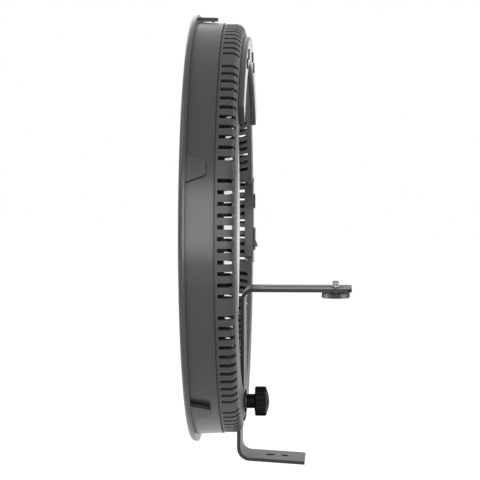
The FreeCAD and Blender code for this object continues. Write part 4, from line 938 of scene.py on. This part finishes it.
def make_bore_lip(group):
    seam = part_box("diffuser")[1].y - RING_CENTRE.y
    start, end = seam - LIP_ROOT, seam + LIP_LONG
    outer = bore_radius() + LIP_SUNK
    inner = outer - LIP_THICK
    profile = ((outer, start), (inner, start), (inner, end - LIP_EDGE), (inner + LIP_EDGE, end),
               (outer, end))
    rows = [[on_ring(radius, CIRCLE * i / LIP_STEPS, depth) for i in range(LIP_STEPS)]
            for radius, depth in profile]
    mesh = skinned("bore_lip", rows, looped=True)
    piece = settle(mesh, "bore_lip", "opal_plastic", "ring")
    # Painted shade: the lip's outer face, seen through the bore slots, takes the dark shell finish in place of the
    # opal
    mesh.materials.append(SHADES["shell_plastic"])
    for face in mesh.polygons:
        offset = face.center - RING_CENTRE
        face.material_index = int(math.hypot(offset.x, offset.z) > outer - LIP_SUNK)
    soften(piece, 0, group)


# Thin raised ink: building blocks

INK = 0.06 * MM
INK_STEPS = 40
MARK_REACH = 2.1 * MM
MARK_THICK = 0.42 * MM


def flat_mark(loops):
    """Thin ink plates on the XZ plane, from outlines of points."""
    made = bmesh.new()
    for loop in loops:
        verts = [made.verts.new((x, 0, z)) for x, z in loop]
        made.faces.new(verts)
    bmesh.ops.remove_doubles(made, verts=made.verts, dist=WELD)
    grown = bmesh.ops.extrude_face_region(made, geom=list(made.faces))
    raised = [item for item in grown["geom"] if isinstance(item, bmesh.types.BMVert)]
    bmesh.ops.translate(made, vec=(0, INK, 0), verts=raised)
    bmesh.ops.recalc_face_normals(made, faces=made.faces)
    return finished(made, "mark")


def bar(x, z, wide, high):
    """The outline of an upright rectangle round a point."""
    return [(x - wide / 2, z - high / 2), (x + wide / 2, z - high / 2),
            (x + wide / 2, z + high / 2), (x - wide / 2, z + high / 2)]


def on_circle(radius, turn):
    return (radius * math.cos(turn), radius * math.sin(turn))


def arc_band(radius, start, end, steps=INK_STEPS):
    """Outlines of the short lengths of an arc's line, between angles in degrees from +X."""
    inner, outer = radius - MARK_THICK / 2, radius + MARK_THICK / 2
    turns = [math.radians(start + (end - start) * i / steps) for i in range(steps + 1)]
    return [[on_circle(inner, one), on_circle(outer, one), on_circle(outer, two), on_circle(inner, two)]
            for one, two in zip(turns, turns[1:])]


# Marks on the four keys: sizes are shares of a mark's reach, angles are degrees from +X

MARK_TOP = 90
POWER_GAP = 38                   # each side of the top
POWER_RING_SHARE = 0.85
POWER_BAR_PLACE_SHARE = 0.62
POWER_BAR_SHARE = 0.95
MODE_STARTS = (20, 200)
MODE_SWEEP = 120
MODE_HEAD_ROOT = 118             # past the start, like the next
MODE_HEAD_TIP = 135
MODE_RING_SHARE = 0.8
MODE_HEAD_SHARES = (0.48, 1.12)
SIGN_SHARE = 1.7
KEY_INK_SUNK = INK / 3


def power_mark():
    """An open ring with a bar in its gap."""
    ring = arc_band(MARK_REACH * POWER_RING_SHARE, MARK_TOP + POWER_GAP, MARK_TOP + CIRCLE - POWER_GAP)
    return ring + [bar(0, MARK_REACH * POWER_BAR_PLACE_SHARE, MARK_THICK, MARK_REACH * POWER_BAR_SHARE)]


def mode_mark():
    """Two arrows that chase each other, drawn as two arcs with heads."""
    radius = MARK_REACH * MODE_RING_SHARE
    inward, out = (MARK_REACH * share for share in MODE_HEAD_SHARES)
    loops = []
    for start in MODE_STARTS:
        loops += arc_band(radius, start, start + MODE_SWEEP, INK_STEPS // 2)
        root, tip = math.radians(start + MODE_HEAD_ROOT), math.radians(start + MODE_HEAD_TIP)
        loops.append([on_circle(out, root), on_circle(radius, tip), on_circle(inward, root)])
    return loops


def minus_mark():
    return [bar(0, 0, MARK_REACH * SIGN_SHARE, MARK_THICK)]


def plus_mark():
    side = (MARK_REACH * SIGN_SHARE - MARK_THICK) / 2
    offset = (MARK_THICK + side) / 2
    return minus_mark() + [bar(0, offset, MARK_THICK, side), bar(0, -offset, MARK_THICK, side)]


KEY_MARKS = {
    "power_button": power_mark,
    "mode_button": mode_mark,
    "dimmer_down_button": minus_mark,
    "dimmer_up_button": plus_mark,
}


def make_key_marks():
    """Marks stay upright and face the rear."""
    for node, mark in KEY_MARKS.items():
        mesh = flat_mark([[(-x, z) for x, z in loop] for loop in mark()])
        centre = middle_of(node)
        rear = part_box(node)[1].y - KEY_INK_SUNK
        mesh.transform(Matrix.Translation((centre.x, rear, centre.z)))
        settle(mesh, f"{node}_mark", "white_print", node)


# Marks on the rocker: a bar above and a ring below, each on its own half

ROCKER_SLOPE = math.radians(11.5)        # each half of its face rises from the middle by this much
ROCKER_REST_TURN = math.radians(-8.0)
ROCKER_DIP_PROUD = 1.4 * MM              # of the pivot, at the face's middle
ROCKER_MARK_SHARE = 0.27                 # of the rocker's height, from its middle to a mark
ROCKER_BAR_SHARE = 1.3                   # of a mark's reach, like the next
ROCKER_RING_SHARE = 0.55


def make_rocker_marks():
    low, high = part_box("power_rocker")
    tilt = next(joint for joint in frame["joints"] if joint["name"] == "power_rocker_tilt")
    pivot = Vector(tilt["pos_m"])
    place = Matrix.Translation((middle_of("power_rocker").x, pivot.y, pivot.z))
    swing = Matrix.Rotation(ROCKER_REST_TURN, 4, "X")
    out = (high.z - low.z) * ROCKER_MARK_SHARE
    upper = [bar(0, 0, MARK_THICK, MARK_REACH * ROCKER_BAR_SHARE)]
    lower = arc_band(MARK_REACH * ROCKER_RING_SHARE, 0, CIRCLE)
    for i, (loops, side) in enumerate(((upper, 1), (lower, -1))):
        mesh = flat_mark(loops)
        lean = Matrix.Rotation(-side * ROCKER_SLOPE, 4, "X")
        lift = Vector((0, ROCKER_DIP_PROUD + out * math.tan(ROCKER_SLOPE), side * out))
        mesh.transform(place @ swing @ Matrix.Translation(lift) @ lean)
        settle(mesh, f"rocker_mark_{i}", "white_print", "power_rocker")


# Unlit digits behind the smoked window

DIGITS = 3
DIGIT_HIGH = 6.2 * MM
DIGIT_WIDE = 3.3 * MM
DIGIT_PITCH = 6.4 * MM
DIGIT_SLANT = 0.12
SEGMENT = 0.6 * MM
SEGMENT_GAP = SEGMENT * 1.4      # what a segment falls short of the digit's side
DIGIT_INK_SUNK = INK / 2


def digit_segments(x):
    """Seven bars of a digit whose middle is at x."""
    half_high, half_wide = DIGIT_HIGH / 2, DIGIT_WIDE / 2
    bars = [bar(x, z, DIGIT_WIDE - SEGMENT_GAP, SEGMENT) for z in (-half_high, 0, half_high)]
    bars += [bar(x + side * half_wide, z, SEGMENT, half_high - SEGMENT_GAP)
             for side in (-1, 1) for z in (-half_high / 2, half_high / 2)]
    return [[(u - v * DIGIT_SLANT, v) for u, v in loop] for loop in bars]


def make_display():
    centre = middle_of("display_module")
    first = -DIGIT_PITCH * (DIGITS - 1) / 2
    loops = [loop for i in range(DIGITS) for loop in digit_segments(first + DIGIT_PITCH * i)]
    mesh = flat_mark(loops)
    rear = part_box("display_module")[1].y - DIGIT_INK_SUNK
    mesh.transform(Matrix.Translation((centre.x, rear, centre.z)))
    settle(mesh, "display_digits", "dark_digit", "ring")


# Pin of the power socket, a plated sleeve over the moulded core

PIN_RADIUS = 1.12 * MM
PIN_TIP = 0.35 * MM
PIN_TIP_SHARE = 0.12             # of the pin's length, where it narrows
PIN_SHARE = 0.7                  # of the socket's length
PIN_SUNK = 0.5 * MM


def make_socket_pin(group):
    low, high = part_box("dc_socket")
    centre = middle_of("dc_socket")
    long = (high.y - low.y) * PIN_SHARE
    mesh = turned("socket_pin", [(PIN_RADIUS, 0.0), (PIN_RADIUS, (1 - PIN_TIP_SHARE) * long),
                                 (PIN_RADIUS - PIN_TIP, long)])
    root = Matrix.Translation((centre.x, high.y - long - PIN_SUNK, centre.z))
    mesh.transform(root @ FACING_BACK)
    soften(settle(mesh, "socket_pin", "plated_steel", "ring"), 0, group)


def main():
    bpy.context.scene.view_settings.view_transform = "Standard"
    make_camera()
    make_world()
    make_floor()
    make_lamps()
    make_materials()
    group = smooth_by_angle()
    dress_nodes(group)
    make_camera_screw(group)
    make_dial(group)
    make_knob(group)
    for screws in SCREWS:
        make_screws(*screws, group)
    make_rear_shell(group)
    make_rim(group)
    make_crescent("panel_housing", "panel_shell", group)
    make_crescent("panel_overlay", "panel_film_sheet", group)
    make_bore_lip(group)
    make_key_marks()
    make_rocker_marks()
    make_display()
    make_socket_pin(group)


main()
